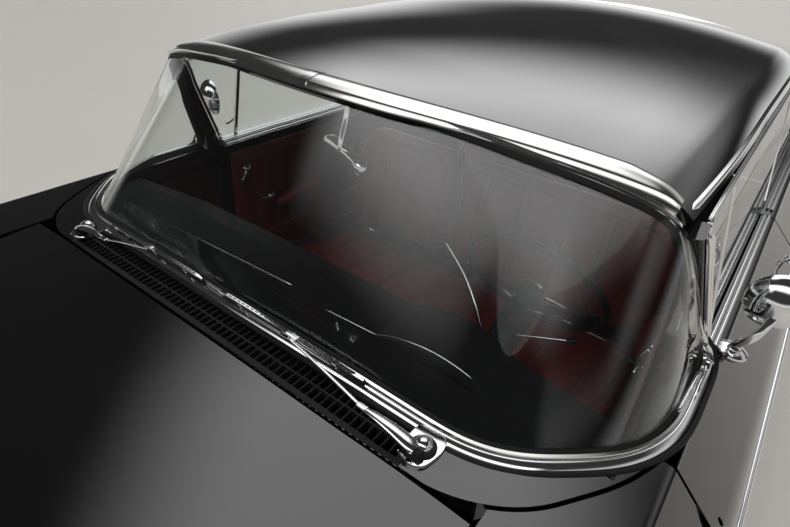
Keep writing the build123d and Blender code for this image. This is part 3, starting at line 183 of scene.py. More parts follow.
def unit(vectors):
    """Vectors at length one."""
    return vectors / np.maximum(np.linalg.norm(vectors, axis=-1, keepdims=True), 1e-12)


def grid_faces(rows, columns, wrap_rows=False, wrap_columns=False):
    """Quads of a grid: each joins a point with the next along its row and the same two in the next row."""
    i, j = np.meshgrid(np.arange(rows - (not wrap_rows)), np.arange(columns - (not wrap_columns)),
                       indexing="ij")
    i2, j2 = (i + 1) % rows, (j + 1) % columns
    corners = [i * columns + j, i2 * columns + j, i2 * columns + j2, i * columns + j2]
    return np.stack(corners, -1).reshape(-1, 4)


def shell(points, wrap_rows=False, wrap_columns=False, caps=False):
    """A grid of points as vertices and faces. Caps close its first and last rows."""
    rows, columns = points.shape[:2]
    faces = grid_faces(rows, columns, wrap_rows, wrap_columns).tolist()
    if caps:
        faces.append(list(range(columns))[::-1])
        faces.append(list(range((rows - 1) * columns, rows * columns)))
    return points.reshape(-1, 3), faces


def build(name, shells, sharp=40, closed=True):
    """One mesh object from several shells, smooth but for edges sharper than an angle in degrees."""
    vertices, faces, start = [], [], 0
    for points, shell_faces in shells:
        vertices.append(points)
        faces += [[index + start for index in face] for face in shell_faces]
        start += len(points)
    mesh = bpy.data.meshes.new(name)
    mesh.from_pydata(np.concatenate(vertices).tolist(), [], faces)
    work = bmesh.new()
    work.from_mesh(mesh)
    bmesh.ops.remove_doubles(work, verts=work.verts, dist=1e-6)
    bmesh.ops.dissolve_degenerate(work, edges=work.edges, dist=1e-7)
    if closed:
        bmesh.ops.recalc_face_normals(work, faces=work.faces)
    work.to_mesh(mesh)
    work.free()
    mesh.shade_smooth()
    mesh.set_sharp_from_angle(angle=math.radians(sharp))
    piece = bpy.data.objects.new(name, mesh)
    bpy.context.scene.collection.objects.link(piece)
    return piece


def place(piece, material, body, replaced=()):
    """Gives a finished piece its material and body, and hides the nodes that it stands for."""
    piece.data.materials.clear()
    piece.data.materials.append(material)
    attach(piece, body)
    if replaced:
        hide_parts(*replaced)
    return piece


def add(name, shells, finish, body, replaced=(), sharp=40):
    """Builds a piece from its shells and places it in a finish."""
    return place(build(name, shells, sharp), look(finish), body, replaced)


def circle(count):
    """Even angles once round."""
    return np.linspace(0, 2 * math.pi, count, endpoint=False)


def solid(points):
    """A grid whose rows are closed rings, with both ends capped."""
    return shell(points, wrap_columns=True, caps=True)


def sheet(outer, inner):
    """A wall between two grids of the same size, closed round its edges."""
    return solid(np.concatenate([outer, inner[::-1]]).transpose(1, 0, 2))


def resample(path, count, closed=False):
    """Points at even steps of length along a path."""
    path = np.asarray(path, float)
    if closed:
        path = np.concatenate([path, path[:1]])
    steps = np.r_[0, np.cumsum(np.linalg.norm(np.diff(path[:, :3], axis=0), axis=1))]
    wanted = np.linspace(0, steps[-1], count + 1)[:-1] if closed else np.linspace(0, steps[-1], count)
    return np.stack([np.interp(wanted, steps, path[:, k]) for k in range(path.shape[1])], 1)


def soften(path, width, closed=False):
    """A path averaged with its neighbours, which rounds its corners."""
    weights = np.exp(-0.5 * (np.arange(-3 * width, 3 * width + 1) / width) ** 2)
    weights /= weights.sum()
    pad = 3 * width
    if closed:
        padded = np.concatenate([path[-pad:], path, path[:pad]])
    else:
        before = 2 * path[0] - path[1:pad + 1][::-1]
        after = 2 * path[-1] - path[-pad - 1:-1][::-1]
        padded = np.concatenate([before, path, after])
    return np.stack([np.convolve(padded[:, k], weights, "valid") for k in range(path.shape[1])], 1)


def curve(points, count):
    """A smooth line through a few points: a cubic in each stretch, with slopes from its neighbours."""
    points = np.asarray(points, float)
    s = np.r_[0, np.cumsum(np.linalg.norm(np.diff(points, axis=0), axis=1))]
    slopes = np.gradient(points, s, axis=0)
    t = np.linspace(0, s[-1], count)
    k = np.clip(np.searchsorted(s, t, "right") - 1, 0, len(s) - 2)
    h = (s[k + 1] - s[k])[:, None]
    u = ((t - s[k])[:, None]) / h
    return ((2 * u**3 - 3 * u**2 + 1) * points[k] + (u**3 - 2 * u**2 + u) * h * slopes[k]
            + (3 * u**2 - 2 * u**3) * points[k + 1] + (u**3 - u**2) * h * slopes[k + 1])


def carried(path, profile, up, scale=1.0):
    """A bar: a profile of (side, up) points carried along a path and capped at both ends.
    Side is the path's direction crossed with up."""
    path, profile = np.asarray(path, float), np.asarray(profile, float)
    ahead = unit(np.gradient(path, axis=0))
    side = unit(np.cross(ahead, np.broadcast_to(up, path.shape)))
    rise = np.cross(side, ahead)
    scale = np.broadcast_to(np.asarray(scale, float), (len(path),))[:, None, None]
    return solid(path[:, None] + scale * (side[:, None] * profile[None, :, :1]
                                          + rise[:, None] * profile[None, :, 1:]))


def ring(radius, count):
    """Round profile."""
    a = circle(count)
    return np.stack([radius * np.cos(a), radius * np.sin(a)], 1)


def pill(width, height, power=2.6, count=20):
    """Rounded rectangular profile: a superellipse."""
    a = circle(count)
    wave = np.stack([np.cos(a), np.sin(a)], 1)
    return np.array((width / 2, height / 2)) * np.sign(wave) * abs(wave) ** (2 / power)


def half_round(width, height, count=12):
    """Moulding profile: flat below and crowned above."""
    a = np.linspace(0, math.pi, count)
    top = np.stack([width / 2 * np.cos(a), height * np.sin(a) ** 0.8], 1)
    return np.concatenate([top, [(-width / 2, -0.002), (width / 2, -0.002)]])


def tube(path, radius, sides=12, up=(0, 0, 1)):
    """Round bar along a path, with rounded ends."""
    path = np.asarray(path, float)
    ends = np.array([0.0, 0.55, 0.85])
    before = path[0] - unit(path[1] - path[0]) * (radius * (1 - ends))[:, None] * 0.6
    after = path[-1] + unit(path[-1] - path[-2]) * (radius * (1 - ends[::-1]))[:, None] * 0.6
    whole = np.concatenate([before, path, after])
    sizes = np.concatenate([ends + 0.02, np.ones(len(path)), ends[::-1] + 0.02])
    return carried(whole, ring(radius, sides), up, sizes)


def spin(profile, centre, axis, sides=32, wrap=False):
    """A profile of (along, radius) points turned about an axis through a centre."""
    axis = unit(np.asarray(axis, float))
    helper = np.array((0.0, 0.0, 1.0)) if abs(axis[2]) < 0.9 else np.array((1.0, 0.0, 0.0))
    u = unit(np.cross(axis, helper))
    v = np.cross(axis, u)
    a = circle(sides)
    profile = np.asarray(profile, float)
    around = np.cos(a)[None, :, None] * u + np.sin(a)[None, :, None] * v
    points = np.asarray(centre) + profile[:, None, :1] * axis + profile[:, None, 1:] * around
    return shell(points, wrap_rows=wrap, wrap_columns=True, caps=not wrap)


def slab(low, high, bevel=0.004, steps=3):
    """Rounded block between two corners: rings of a rounded rectangle, drawn in at both ends."""
    low, high = np.asarray(low, float), np.asarray(high, float)
    size, middle = high - low, (high + low) / 2
    bevel = min(bevel, size.min() * 0.49)
    a = np.linspace(0, math.pi / 2, steps + 1)
    quarter = np.stack([np.cos(a), np.sin(a)], 1) * bevel
    corner = size[:2] / 2 - bevel
    outline = np.concatenate([
        quarter + corner,
        quarter[:, ::-1] * (-1, 1) + corner * (-1, 1),
        -quarter - corner,
        quarter[:, ::-1] * (1, -1) + corner * (1, -1),
    ])
    rings = []
    for z_side in (-1, 1):
        for k in (a if z_side < 0 else a[::-1]):
            shrink = bevel * (1 - math.sin(k))
            z = z_side * (size[2] / 2 - bevel * (1 - math.cos(k)))
            inner = outline * (1 - shrink / np.maximum(abs(outline).max(0), 1e-9))
            rings.append(np.c_[inner + middle[:2], np.full(len(outline), z + middle[2])])
    return solid(np.stack(rings))


def mirrored(shells):
    """The same shells on the car's other side."""
    return [(points * (-1, 1, 1), [face[::-1] for face in faces]) for points, faces in shells]


def both_sides(name, shells, finish, body, replaced=(), sharp=40):
    """The same piece on the left and the right. Names of bodies and nodes with {} take the side's name."""
    for side, made in (("left", shells), ("right", mirrored(shells))):
        nodes = [cad.format(side) for cad in replaced]
        add(f"{name}_{side}", made, finish, body.format(side), nodes, sharp)


def fillet(points, radii, straight=10, round_steps=14):
    """An open line with rounded corners, always with the same number of points, so that two lines match."""
    points = [np.asarray(p, float) for p in points]
    arcs = []
    for before, corner, after, radius in zip(points, points[1:], points[2:], radii):
        a, b = unit(before - corner), unit(after - corner)
        half = math.acos(np.clip(a @ b, -1, 1)) / 2
        centre = corner + unit(a + b) * radius / math.sin(half)
        start, end = corner + a * radius / math.tan(half), corner + b * radius / math.tan(half)
        first = math.atan2(*(start - centre)[::-1])
        turn = (math.atan2(*(end - centre)[::-1]) - first + math.pi) % (2 * math.pi) - math.pi
        angles = first + turn * np.linspace(0, 1, round_steps)
        arcs.append(centre + radius * np.stack([np.cos(angles), np.sin(angles)], 1))
    line = []
    here = points[0]
    for arc in arcs:
        line.append(here + (arc[0] - here) * np.linspace(0, 1, straight)[:-1, None])
        line.append(arc)
        here = arc[-1]
    line.append(here + (points[-1] - here) * np.linspace(0, 1, straight)[1:, None])
    return np.concatenate(line)


def cowl_z(x):
    """Height of the cowl's crown at a distance from the middle."""
    x = abs(np.asarray(x, float))
    crown = COWL_CROWN_Z - 0.008 * (x / 0.649) ** 2
    fall = COWL_CROWN_Z - 0.008 - 0.013 * (x - 0.649) / 0.201
    return np.where(x < 0.649, crown, fall)


def shield_top_z(x):
    """Height of the windshield's upper edge: it falls with the square and the sixth power of x."""
    x = np.asarray(x, float)
    return HEADER_MID_Z - 0.09 * x**2 - 0.24 * x**6


def backlight_top_z(x, mid=1.392, end=1.290, half=0.722):
    """Height of the rear window's upper edge: an arc through its middle and two ends."""
    rise = mid - end
    radius = (half**2 + rise**2) / (2 * rise)
    return mid - radius + np.sqrt(radius**2 - np.asarray(x, float) ** 2)


def roof_front_y(x):
    """The roof's front edge in plan: it runs back with the square of x, less its fourth power."""
    x = np.asarray(x, float)
    return -0.745 + 0.38 * x**2 - 0.25 * x**4


def roof_points(u, y, sink=0.0):
    """Places on the roof: u is -1 to 1 over its crown between the creases, and on to 2 down to the drip edge.
    The crown is an arc, and the fall beyond each crease is straight with a bow of a half sine."""
    row = roof_row(y)
    crown, crease_x, crease_z, drip_x, drip_z = (row[..., k] for k in range(1, 6))
    rise = crown - crease_z
    radius = (crease_x**2 + rise**2) / (2 * rise)
    share = np.clip(abs(u) - 1, 0, 1)
    over = np.clip(abs(u), 0, 1)
    x = crease_x * over + (drip_x - crease_x) * share + ROOF_BOW * np.sin(math.pi * share) * 0.45
    top = crown - radius + np.sqrt(radius**2 - (crease_x * over) ** 2)
    z = np.where(share > 0, crease_z + (drip_z - crease_z) * share + ROOF_BOW * np.sin(math.pi * share) * 0.9,
                 top)
    return np.stack([np.sign(u) * (x - sink * 0.8 * np.clip(share * 2, 0, 1)), y + 0 * u, z - sink], -1)


def roof_z(x, y):
    """Height of the roof's outer face over a place in plan."""
    u = np.linspace(0, 2, 120)
    line = roof_points(u[None] + 0 * np.atleast_1d(y)[:, None], np.atleast_1d(y)[:, None] + 0 * u[None])
    return np.array([np.interp(a, row[:, 0], row[:, 2]) for a, row in zip(np.abs(np.atleast_1d(x)), line)])


def roof_row(y):
    """The roof's section values at a station, on smooth lines through its stations."""
    line = curve(ROOF, 240)
    return np.stack([np.interp(y, line[:, 0], line[:, k]) for k in range(6)], -1)


def pillar_y(z):
    """The windshield's rear edge, just ahead of its pillar."""
    lean = (PILLAR_TOP[1] - PILLAR_FOOT[1]) / (PILLAR_TOP[2] - PILLAR_FOOT[2])
    return PILLAR_FOOT[1] + lean * (z - PILLAR_FOOT[2]) - PILLAR_HALF_Y - 0.001


def window_edges(low, low_z, low_radii, high, high_z, high_radii, base_z, top_z, side_y, fine=0):
    """Edge of a wrapped window: along its base, up one side, along its top and down the other.
    Each point is on the straight line between the window's low and high outlines, at the height asked for.
    Returns places with the glass's outward direction beside them."""
    low, high = fillet(low, low_radii), fillet(high, high_radii)
    if fine:
        steps, wanted = np.arange(len(low)), np.linspace(0, len(low) - 1, fine)
        low, high = (np.stack([np.interp(wanted, steps, line[:, k]) for k in (0, 1)], 1)
                     for line in (low, high))
        low, high = soften(low, 14), soften(high, 14)
    rise = np.c_[high - low, np.full(len(low), high_z - low_z)]
    low3 = np.c_[low, np.full(len(low), low_z)]
    along = np.gradient(low3, axis=0)
    out = unit(np.cross(unit(along), unit(rise)))
    centre = low3.mean(0)
    out *= np.sign(((low3 - centre) * out).sum(1))[:, None]

    def at_height(height):
        """Points at a height that varies with x, found in a few rounds."""
        t = np.full(len(low), 0.5)
        for _ in range(8):
            point = low3 + rise * t[:, None]
            t = (height(point[:, 0]) - low_z) / (high_z - low_z)
        return low3 + rise * t[:, None]

    base_part, top_part = (np.c_[line, out][side_y(line)] for line in (at_height(base_z), at_height(top_z)))
    left = np.linspace(0, 1, 24)[1:-1, None]
    up = base_part[-1] + (top_part[-1] - base_part[-1]) * left
    down = top_part[0] + (base_part[0] - top_part[0]) * left
    return base_part, up, top_part[::-1], down


def shield_edges(base_z=cowl_z, fine=0):
    """The windshield's edges, or those of the part of it above another base line."""
    return window_edges(
        SHIELD_LOW, SHIELD_LOW_Z, SHIELD_LOW_RADII, SHIELD_HIGH, SHIELD_HIGH_Z, SHIELD_HIGH_RADII,
        base_z, shield_top_z, lambda line: line[:, 1] < pillar_y(line[:, 2]), fine)


def backlight_edges():
    """The rear window's edges. Its sides start where the sail pillars no longer cover them."""
    foot_y, top_y = SAIL_LOW[0][1], SAIL_HIGH[0][1]

    def side(line):
        """Which points the pillars leave free."""
        front = foot_y + (top_y - foot_y) * (line[:, 2] - SAIL_LOW_Z) / (SAIL_HIGH_Z - SAIL_LOW_Z)
        return line[:, 1] > front + SAIL_COVER_Y

    return window_edges(
        BACK_LOW, BACK_LOW_Z, BACK_LOW_RADII, BACK_HIGH, BACK_HIGH_Z, BACK_HIGH_RADII,
        cowl_z, backlight_top_z, side)


def edge_loop(edges, count, width):
    """A window's four edges as one even closed loop with rounded corners: places and outward directions."""
    loop = soften(resample(np.concatenate(edges), count, closed=True), width, closed=True)
    return loop[:, :3], unit(loop[:, 3:])


def ring_moulding(places, out, profile, away=0.0, scale=1.0, level=0.0):
    """A moulding round a window. Its profile's side points away from the window, and its up points out.
    Where level is 1 it lies flat on the deck instead: its side is level and its up is straight up."""
    ahead = unit(np.roll(places, -1, 0) - np.roll(places, 1, 0))
    outward = np.cross(ahead, out)
    middle = places.mean(0)
    outward *= np.sign(((places - middle) * outward).sum(1).mean())
    level = np.broadcast_to(np.asarray(level, float).reshape(-1, 1), (len(places), 1))
    flat = unit(out * (1, 1, 0))
    outward = unit(outward * (1 - level) + flat * level)
    out = unit(out * (1 - level) + np.array((0, 0, 1.0)) * level)
    scale = np.broadcast_to(np.asarray(scale, float), (len(places),))[:, None, None]
    base = places + outward * away
    profile = np.asarray(profile, float)
    grid = (base[:, None] + scale * outward[:, None] * profile[None, :, :1]
            + out[:, None] * profile[None, :, 1:])
    return shell(grid, wrap_rows=True, wrap_columns=True)


# Shader groups
def socketed_group(name, inputs, outputs):
    """An empty shader group with named sockets. Each input is a name, a socket type and a default."""
    group = bpy.data.node_groups.new(name, "ShaderNodeTree")
    for label, kind, default in inputs:
        socket = group.interface.new_socket(name=label, in_out="INPUT", socket_type=kind)
        if default is not None:
            socket.default_value = default
    for label, kind in outputs:
        group.interface.new_socket(name=label, in_out="OUTPUT", socket_type=kind)
    return group, group.nodes.new("NodeGroupInput").outputs, group.nodes.new("NodeGroupOutput")


def wire(tree, target, links):
    """Sets or links a node's sockets by name or number."""
    for key, value in links.items():
        socket = target.inputs[key]
        if isinstance(value, bpy.types.NodeSocket):
            tree.links.new(value, socket)
        else:
            socket.default_value = value


def node(tree, kind, links=None, **values):
    """A node with its settings and its wired sockets."""
    made = tree.nodes.new(kind)
    for key, value in values.items():
        setattr(made, key, value)
    wire(tree, made, links or {})
    return made


def noise(tree, vector, scale, detail, **more):
    """The outputs of a noise texture."""
    links = {"Vector": vector, "Scale": scale, "Detail": detail, **more}
    return node(tree, "ShaderNodeTexNoise", links).outputs


def mixed(tree, share, first, second):
    """A colour between two others."""
    return node(tree, "ShaderNodeMixRGB", {"Fac": share, "Color1": first, "Color2": second}).outputs["Color"]


def ranged(tree, value, low, high, first=0.0, last=1.0, smooth=False):
    """A value carried from one range to another and held at its ends."""
    links = {"Value": value, "From Min": low, "From Max": high, "To Min": first, "To Max": last}
    kind = "SMOOTHSTEP" if smooth else "LINEAR"
    return node(tree, "ShaderNodeMapRange", links, interpolation_type=kind).outputs["Result"]


def worked(tree, operation, *values):
    """One step of arithmetic."""
    return node(tree, "ShaderNodeMath", dict(enumerate(values)), operation=operation).outputs[0]


def film_group():
    """Wiping haze and a fine ripple: broad noise sets roughness between two values, fine noise the height."""
    group, start, end = socketed_group(
        "Surface film",
        [("Vector", "NodeSocketVector", None), ("Scale", "NodeSocketFloat", 4.0),
         ("Low", "NodeSocketFloat", 0.03), ("High", "NodeSocketFloat", 0.08),
         ("Ripple", "NodeSocketFloat", 40.0)],
        [("Roughness", "NodeSocketFloat"), ("Height", "NodeSocketFloat"), ("Mask", "NodeSocketFloat")])
    haze = noise(group, start["Vector"], start["Scale"], 6.0, Roughness=0.62)["Fac"]
    wire(group, end, {
        "Roughness": ranged(group, haze, 0.32, 0.68, start["Low"], start["High"]),
        "Height": noise(group, start["Vector"], start["Ripple"], 2.0)["Fac"],
        "Mask": haze,
    })
    return group


def grain_group():
    """Pressed grain: rounded cells with creases between them, and slow changes of colour."""
    group, start, end = socketed_group(
        "Pressed grain",
        [("Vector", "NodeSocketVector", None), ("Scale", "NodeSocketFloat", 420.0),
         ("Colour", "NodeSocketColor", (0.2, 0.02, 0.02, 1)),
         ("Worn", "NodeSocketColor", (0.3, 0.05, 0.05, 1))],
        [("Color", "NodeSocketColor"), ("Roughness", "NodeSocketFloat"), ("Height", "NodeSocketFloat")])
    vector = start["Vector"]
    warped = mixed(group, 0.012, vector, noise(group, vector, 60.0, 3.0)["Color"])
    cells = node(group, "ShaderNodeTexVoronoi", {"Vector": warped, "Scale": start["Scale"]},
                 feature="DISTANCE_TO_EDGE")
    slow = noise(group, vector, 5.0, 5.0)["Fac"]
    worn = ranged(group, slow, 0.42, 0.75, 0.0, 0.35)
    wire(group, end, {
        "Color": mixed(group, worn, start["Colour"], start["Worn"]),
        "Roughness": ranged(group, slow, 0.3, 0.7, 0.34, 0.48),
        "Height": ranged(group, cells.outputs["Distance"], 0.0, 0.16, smooth=True),
    })
    return group


def pile_group():
    """Short pile or woven nap: fine noise times slow noise for colour, and fine noise for height."""
    group, start, end = socketed_group(
        "Woven nap",
        [("Vector", "NodeSocketVector", None), ("Scale", "NodeSocketFloat", 300.0),
         ("Colour", "NodeSocketColor", (0.1, 0.01, 0.01, 1)),
         ("Light", "NodeSocketColor", (0.2, 0.04, 0.04, 1))],
        [("Color", "NodeSocketColor"), ("Height", "NodeSocketFloat")])
    fine = noise(group, start["Vector"], start["Scale"], 4.0)["Fac"]
    slow = noise(group, start["Vector"], 7.0, 3.0)["Fac"]
    share = ranged(group, worked(group, "MULTIPLY", fine, slow), 0.12, 0.42)
    wire(group, end, {"Color": mixed(group, share, start["Colour"], start["Light"]), "Height": fine})
    return group


GROUPS = {}
LOOKS = {}


def from_group(tree, maker, links):
    """The outputs of a shader group, which is built once and then shared."""
    if maker not in GROUPS:
        GROUPS[maker] = maker()
    return node(tree, "ShaderNodeGroup", links, node_tree=GROUPS[maker]).outputs


def blank_material(name):
    """A new material, its node tree, its shader and its Object coordinates."""
    material = bpy.data.materials.new(name)
    material.use_nodes = True
    tree = material.node_tree
    return material, tree, tree.nodes["Principled BSDF"], node(tree, "ShaderNodeTexCoord").outputs["Object"]


def bumped(tree, shader, height, strength, distance):
    """Relief on a shader from a height."""
    bump = node(tree, "ShaderNodeBump", {"Height": height, "Strength": strength, "Distance": distance})
    wire(tree, shader, {"Normal": bump.outputs["Normal"]})


def opaque(colour, factor=1.0, lift=0.0):
    """A colour made lighter or darker, with its alpha."""
    return *(min(1.0, c * factor + lift) for c in tuple(colour)[:3]), 1


def filmed(name, colour, low, high, metallic=0.0, coat=0.0, scale=4.0, ripple=40.0, strength=0.02,
           distance=0.001, tint=0.06, specular=0.5):
    """A hard finish: its tone shifts a little with its haze. Roughness and a ripple come from the film."""
    material, tree, shader, vector = blank_material(name)
    film = from_group(tree, film_group, {"Vector": vector, "Scale": scale, "Low": low, "High": high,
                                         "Ripple": ripple})
    tone = mixed(tree, film["Mask"], opaque(colour), opaque(colour, 1 + tint, tint * 0.01))
    wire(tree, shader, {"Base Color": tone, "Roughness": film["Roughness"], "Metallic": metallic,
                        "Specular IOR Level": specular, "Coat Weight": coat, "Coat Roughness": 0.015})
    bumped(tree, shader, film["Height"], strength, distance)
    return material


def grained(name, colour, worn, scale=420.0, shaded_seams=False):
    """Grained vinyl. It can carry painted shade in its sewn channels: there it is darkened where the mesh
    attribute left by sew() is one.
    """
    material, tree, shader, vector = blank_material(name)
    grain = from_group(tree, grain_group, {"Vector": vector, "Scale": scale, "Colour": opaque(colour),
                                           "Worn": opaque(worn)})
    tone = grain["Color"]
    if shaded_seams:
        # Painted shade: the colour falls towards a fifth of the vinyl's down in the sewn channels.
        seam_shade = node(tree, "ShaderNodeAttribute", attribute_name="seam_shade").outputs["Fac"]
        tone = mixed(tree, worked(tree, "MULTIPLY", seam_shade, 0.85), tone, opaque(colour, 0.18))
    wire(tree, shader, {"Base Color": tone, "Roughness": grain["Roughness"], "Coat Weight": 0.12,
                        "Coat Roughness": 0.3})
    bumped(tree, shader, grain["Height"], 0.25, 0.0008)
    return material


def napped(name, colour, light, scale=300.0, strength=0.6, distance=0.003):
    """Cloth or carpet with a short nap."""
    material, tree, shader, vector = blank_material(name)
    pile = from_group(tree, pile_group, {"Vector": vector, "Scale": scale, "Colour": opaque(colour),
                                         "Light": opaque(light)})
    wire(tree, shader, {"Base Color": pile["Color"], "Roughness": 0.92, "Sheen Weight": 0.3})
    bumped(tree, shader, pile["Height"], strength, distance)
    return material


def glazed(name, tint, roughness=0.0):
    """Glass that lets the lamps' light through to what is behind it, with a tint that shifts a little."""
    material, tree, shader, vector = blank_material(name)
    haze = from_group(tree, film_group, {"Vector": vector})["Mask"]
    wire(tree, shader, {"Base Color": mixed(tree, haze, opaque(tint), opaque(tint, 0.97)), "IOR": 1.5,
                        "Roughness": roughness, "Transmission Weight": 1.0})
    clear = node(tree, "ShaderNodeBsdfTransparent", {"Color": opaque(tint)}).outputs["BSDF"]
    in_shadow = node(tree, "ShaderNodeLightPath").outputs["Is Shadow Ray"]
    either = node(tree, "ShaderNodeMixShader", {0: in_shadow, 1: shader.outputs["BSDF"], 2: clear})
    wire(tree, tree.nodes["Material Output"], {"Surface": either.outputs["Shader"]})
    return material


# Hard finishes. Columns: material's name, colour, least and most roughness, other settings
HARD_FINISHES = {
    "stainless": ("polished_stainless", (0.78, 0.77, 0.75), 0.09, 0.17,
                  dict(metallic=1.0, scale=11, ripple=160, strength=0.02, tint=0.04)),
    "rubber": ("black_rubber", (0.008, 0.008, 0.008), 0.42, 0.62,
               dict(scale=30, ripple=500, strength=0.2, tint=0.8, specular=0.15)),
    "tyre": ("tyre_rubber", (0.016, 0.016, 0.016), 0.5, 0.72,
             dict(scale=14, ripple=420, strength=0.3, tint=1.0)),
    "white": ("white_rubber", (0.74, 0.73, 0.70), 0.42, 0.58,
              dict(scale=16, ripple=380, strength=0.12, tint=0.05)),
    "iron": ("cast_iron", (0.035, 0.034, 0.033), 0.45, 0.7,
             dict(metallic=0.4, scale=12, ripple=260, strength=0.5, tint=1.2)),
    "dash": ("dash_enamel", (0.004, 0.004, 0.004), 0.46, 0.55,
             dict(scale=8, ripple=900, strength=0.03, tint=0.2, specular=0.16)),
    "plastic": ("black_plastic", (0.006, 0.006, 0.006), 0.20, 0.30,
                dict(scale=18, ripple=300, strength=0.05, tint=0.4, specular=0.3)),
    "dial": ("dial_face", (0.025, 0.027, 0.028), 0.3, 0.4,
             dict(scale=25, ripple=300, strength=0.02, tint=0.3)),
    "mirror": ("mirror_glass", (0.9, 0.9, 0.9), 0.0, 0.012,
               dict(metallic=1.0, scale=20, strength=0.0, tint=0.01)),
}


def look(name):
    """A finish by name, made when it is first asked for."""
    if name in LOOKS:
        return LOOKS[name]
    paint = bpy.context.scene.hardtop_paint
    cabin = bpy.context.scene.hardtop_cabin
    vinyl, carpet = tuple(cabin.vinyl), tuple(cabin.carpet)
    worn = opaque(vinyl, 1.5, 0.01)
    makers = {
        "enamel": lambda: filmed("black_enamel", paint.enamel, 0.05, 0.11, coat=1.0, scale=2.5, ripple=240,
                                 strength=0.012, distance=0.0004, tint=0.3),
        "chassis": lambda: filmed("chassis_enamel", paint.chassis, 0.28, 0.5, scale=9, ripple=300,
                                  strength=0.15, tint=0.6),
        "chrome": lambda: filmed("bright_plate", paint.chrome, paint.polish, paint.polish + 0.05,
                                 metallic=1.0, scale=7, ripple=90, strength=0.01, tint=0.02),
        "vinyl": lambda: grained("red_vinyl", vinyl, worn),
        "seat_vinyl": lambda: grained("seat_vinyl", vinyl, worn, shaded_seams=True),
        "vinyl_dark": lambda: grained("door_vinyl", opaque(vinyl, 0.55), vinyl, scale=520),
        "headliner": lambda: napped("headliner", opaque(vinyl, 0.35), opaque(vinyl, 0.6), scale=700,
                                    strength=0.2, distance=0.001),
        "carpet": lambda: napped("loop_carpet", carpet, opaque(carpet, 2.2)),
        "glass": lambda: glazed("clear_glass", (0.93, 0.96, 0.95)),
        "lens": lambda: glazed("clear_lens", (0.95, 0.96, 0.96), roughness=0.04),
        "red_lens": lambda: glazed("red_lens", (0.75, 0.02, 0.015), roughness=0.06),
    }
    if name in makers:
        LOOKS[name] = makers[name]()
    else:
        *plain, more = HARD_FINISHES[name]
        LOOKS[name] = filmed(*plain, **more)
    return LOOKS[name]


def aimed(new, right, down, ahead, at):
    """A camera or lamp in the scene: it looks along the direction ahead."""
    made = bpy.data.objects.new(new.name, new)
    bpy.context.scene.collection.objects.link(made)
    turn = np.c_[right, np.negative(down), np.negative(ahead), at]
    made.matrix_world = Matrix(np.r_[turn, [[0, 0, 0, 1]]].tolist())
    return made


class HARDTOP_OT_stage(bpy.types.Operator):
    """Floor, lamps, world and camera"""

    bl_idname = "hardtop.stage"
    bl_label = "Stage"

    def execute(self, context):
        scene = context.scene
        stage = scene.hardtop_stage
        half = stage.floor_size / 2
        corners = np.array([[(-half, -half, 0), (half, -half, 0)], [(-half, half, 0), (half, half, 0)]],
                           float)
        floor = build("floor", [shell(corners)], closed=False)
        floor.data.flip_normals()
        material, tree, shader, vector = blank_material("pale_floor")
        pale = mixed(tree, noise(tree, vector, 0.7, 5.0)["Fac"], opaque(stage.floor),
                     opaque(stage.floor, 0.95))
        wire(tree, shader, {"Base Color": pale, "Roughness": 0.45})
        floor.data.materials.append(material)

        world = bpy.data.worlds.new("studio")
        scene.world = world
        world.use_nodes = True
        sky = world.node_tree
        way = node(sky, "ShaderNodeTexCoord").outputs["Generated"]
        height = node(sky, "ShaderNodeSeparateXYZ", {0: way}).outputs["Z"]
        total = ranged(sky, height, -0.02, 0.15, 0.85, 0.035, smooth=True)

        def reach(axis):
            """How far a direction goes along an axis."""
            return node(sky, "ShaderNodeVectorMath", {0: way, 1: tuple(axis)},
                        operation="DOT_PRODUCT").outputs[1]

        # Soft panels of light. Columns: middle's direction, half width, half height, soft edge, brightness
        for middle, wide, high, edge, bright in (
            ((-0.36, 0.76, 0.54), 0.44, 0.20, 0.16, 1.9),
            ((0.34, 0.80, 0.50), 0.40, 0.18, 0.18, 0.5),
            ((-0.26, 0.42, 0.87), 0.42, 0.26, 0.16, 1.7),
            ((0.10, -0.58, 0.81), 0.80, 0.16, 0.12, 1.7),
            ((-0.45, -0.66, 0.60), 0.18, 0.14, 0.12, 1.2),
            ((0.88, 0.10, 0.46), 0.60, 0.18, 0.14, 0.5),
        ):
            ahead = unit(np.array(middle))
            right = unit(np.cross(ahead, (0, 0, 1)))
            depth = worked(sky, "MAXIMUM", reach(ahead), 0.05)
            masks = []
            for axis, size in ((right, wide), (np.cross(right, ahead), high)):
                off = worked(sky, "ABSOLUTE", worked(sky, "DIVIDE", reach(axis), depth))
                masks.append(ranged(sky, off, size - edge, size + edge, 1.0, 0.0, smooth=True))
            total = worked(sky, "MULTIPLY_ADD", worked(sky, "MULTIPLY", *masks), bright, total)
        grey = node(sky, "ShaderNodeCombineXYZ", {0: total, 1: total, 2: total}).outputs["Vector"]
        seen = node(sky, "ShaderNodeLightPath").outputs["Is Camera Ray"]
        wire(sky, sky.nodes["Background"], {"Color": mixed(sky, seen, grey, (0.74, 0.72, 0.69, 1))})

        # One wide soft light from above, which lights the floor evenly however far it reaches
        light = bpy.data.lights.new("soft_light", "SUN")
        light.energy, light.angle = 0.8, math.radians(70)
        back = unit(np.array((0.15, -0.30, 1.0)))
        right = unit(np.cross((0, 1, 0), back))
        lamp = aimed(light, right, -np.cross(back, right), -back, (0, 0, 5))
        lamp.visible_glossy = False

        camera = bpy.data.cameras.new("camera")
        camera.sensor_width = 36.0
        camera.lens = FOCAL_PIXELS / IMAGE_WIDTH * camera.sensor_width
        camera.clip_start = 0.02
        scene.camera = aimed(camera, CAMERA_RIGHT, CAMERA_DOWN, CAMERA_AHEAD, CAMERA_AT)
        scene.view_settings.view_transform = "Standard"
        return {"FINISHED"}


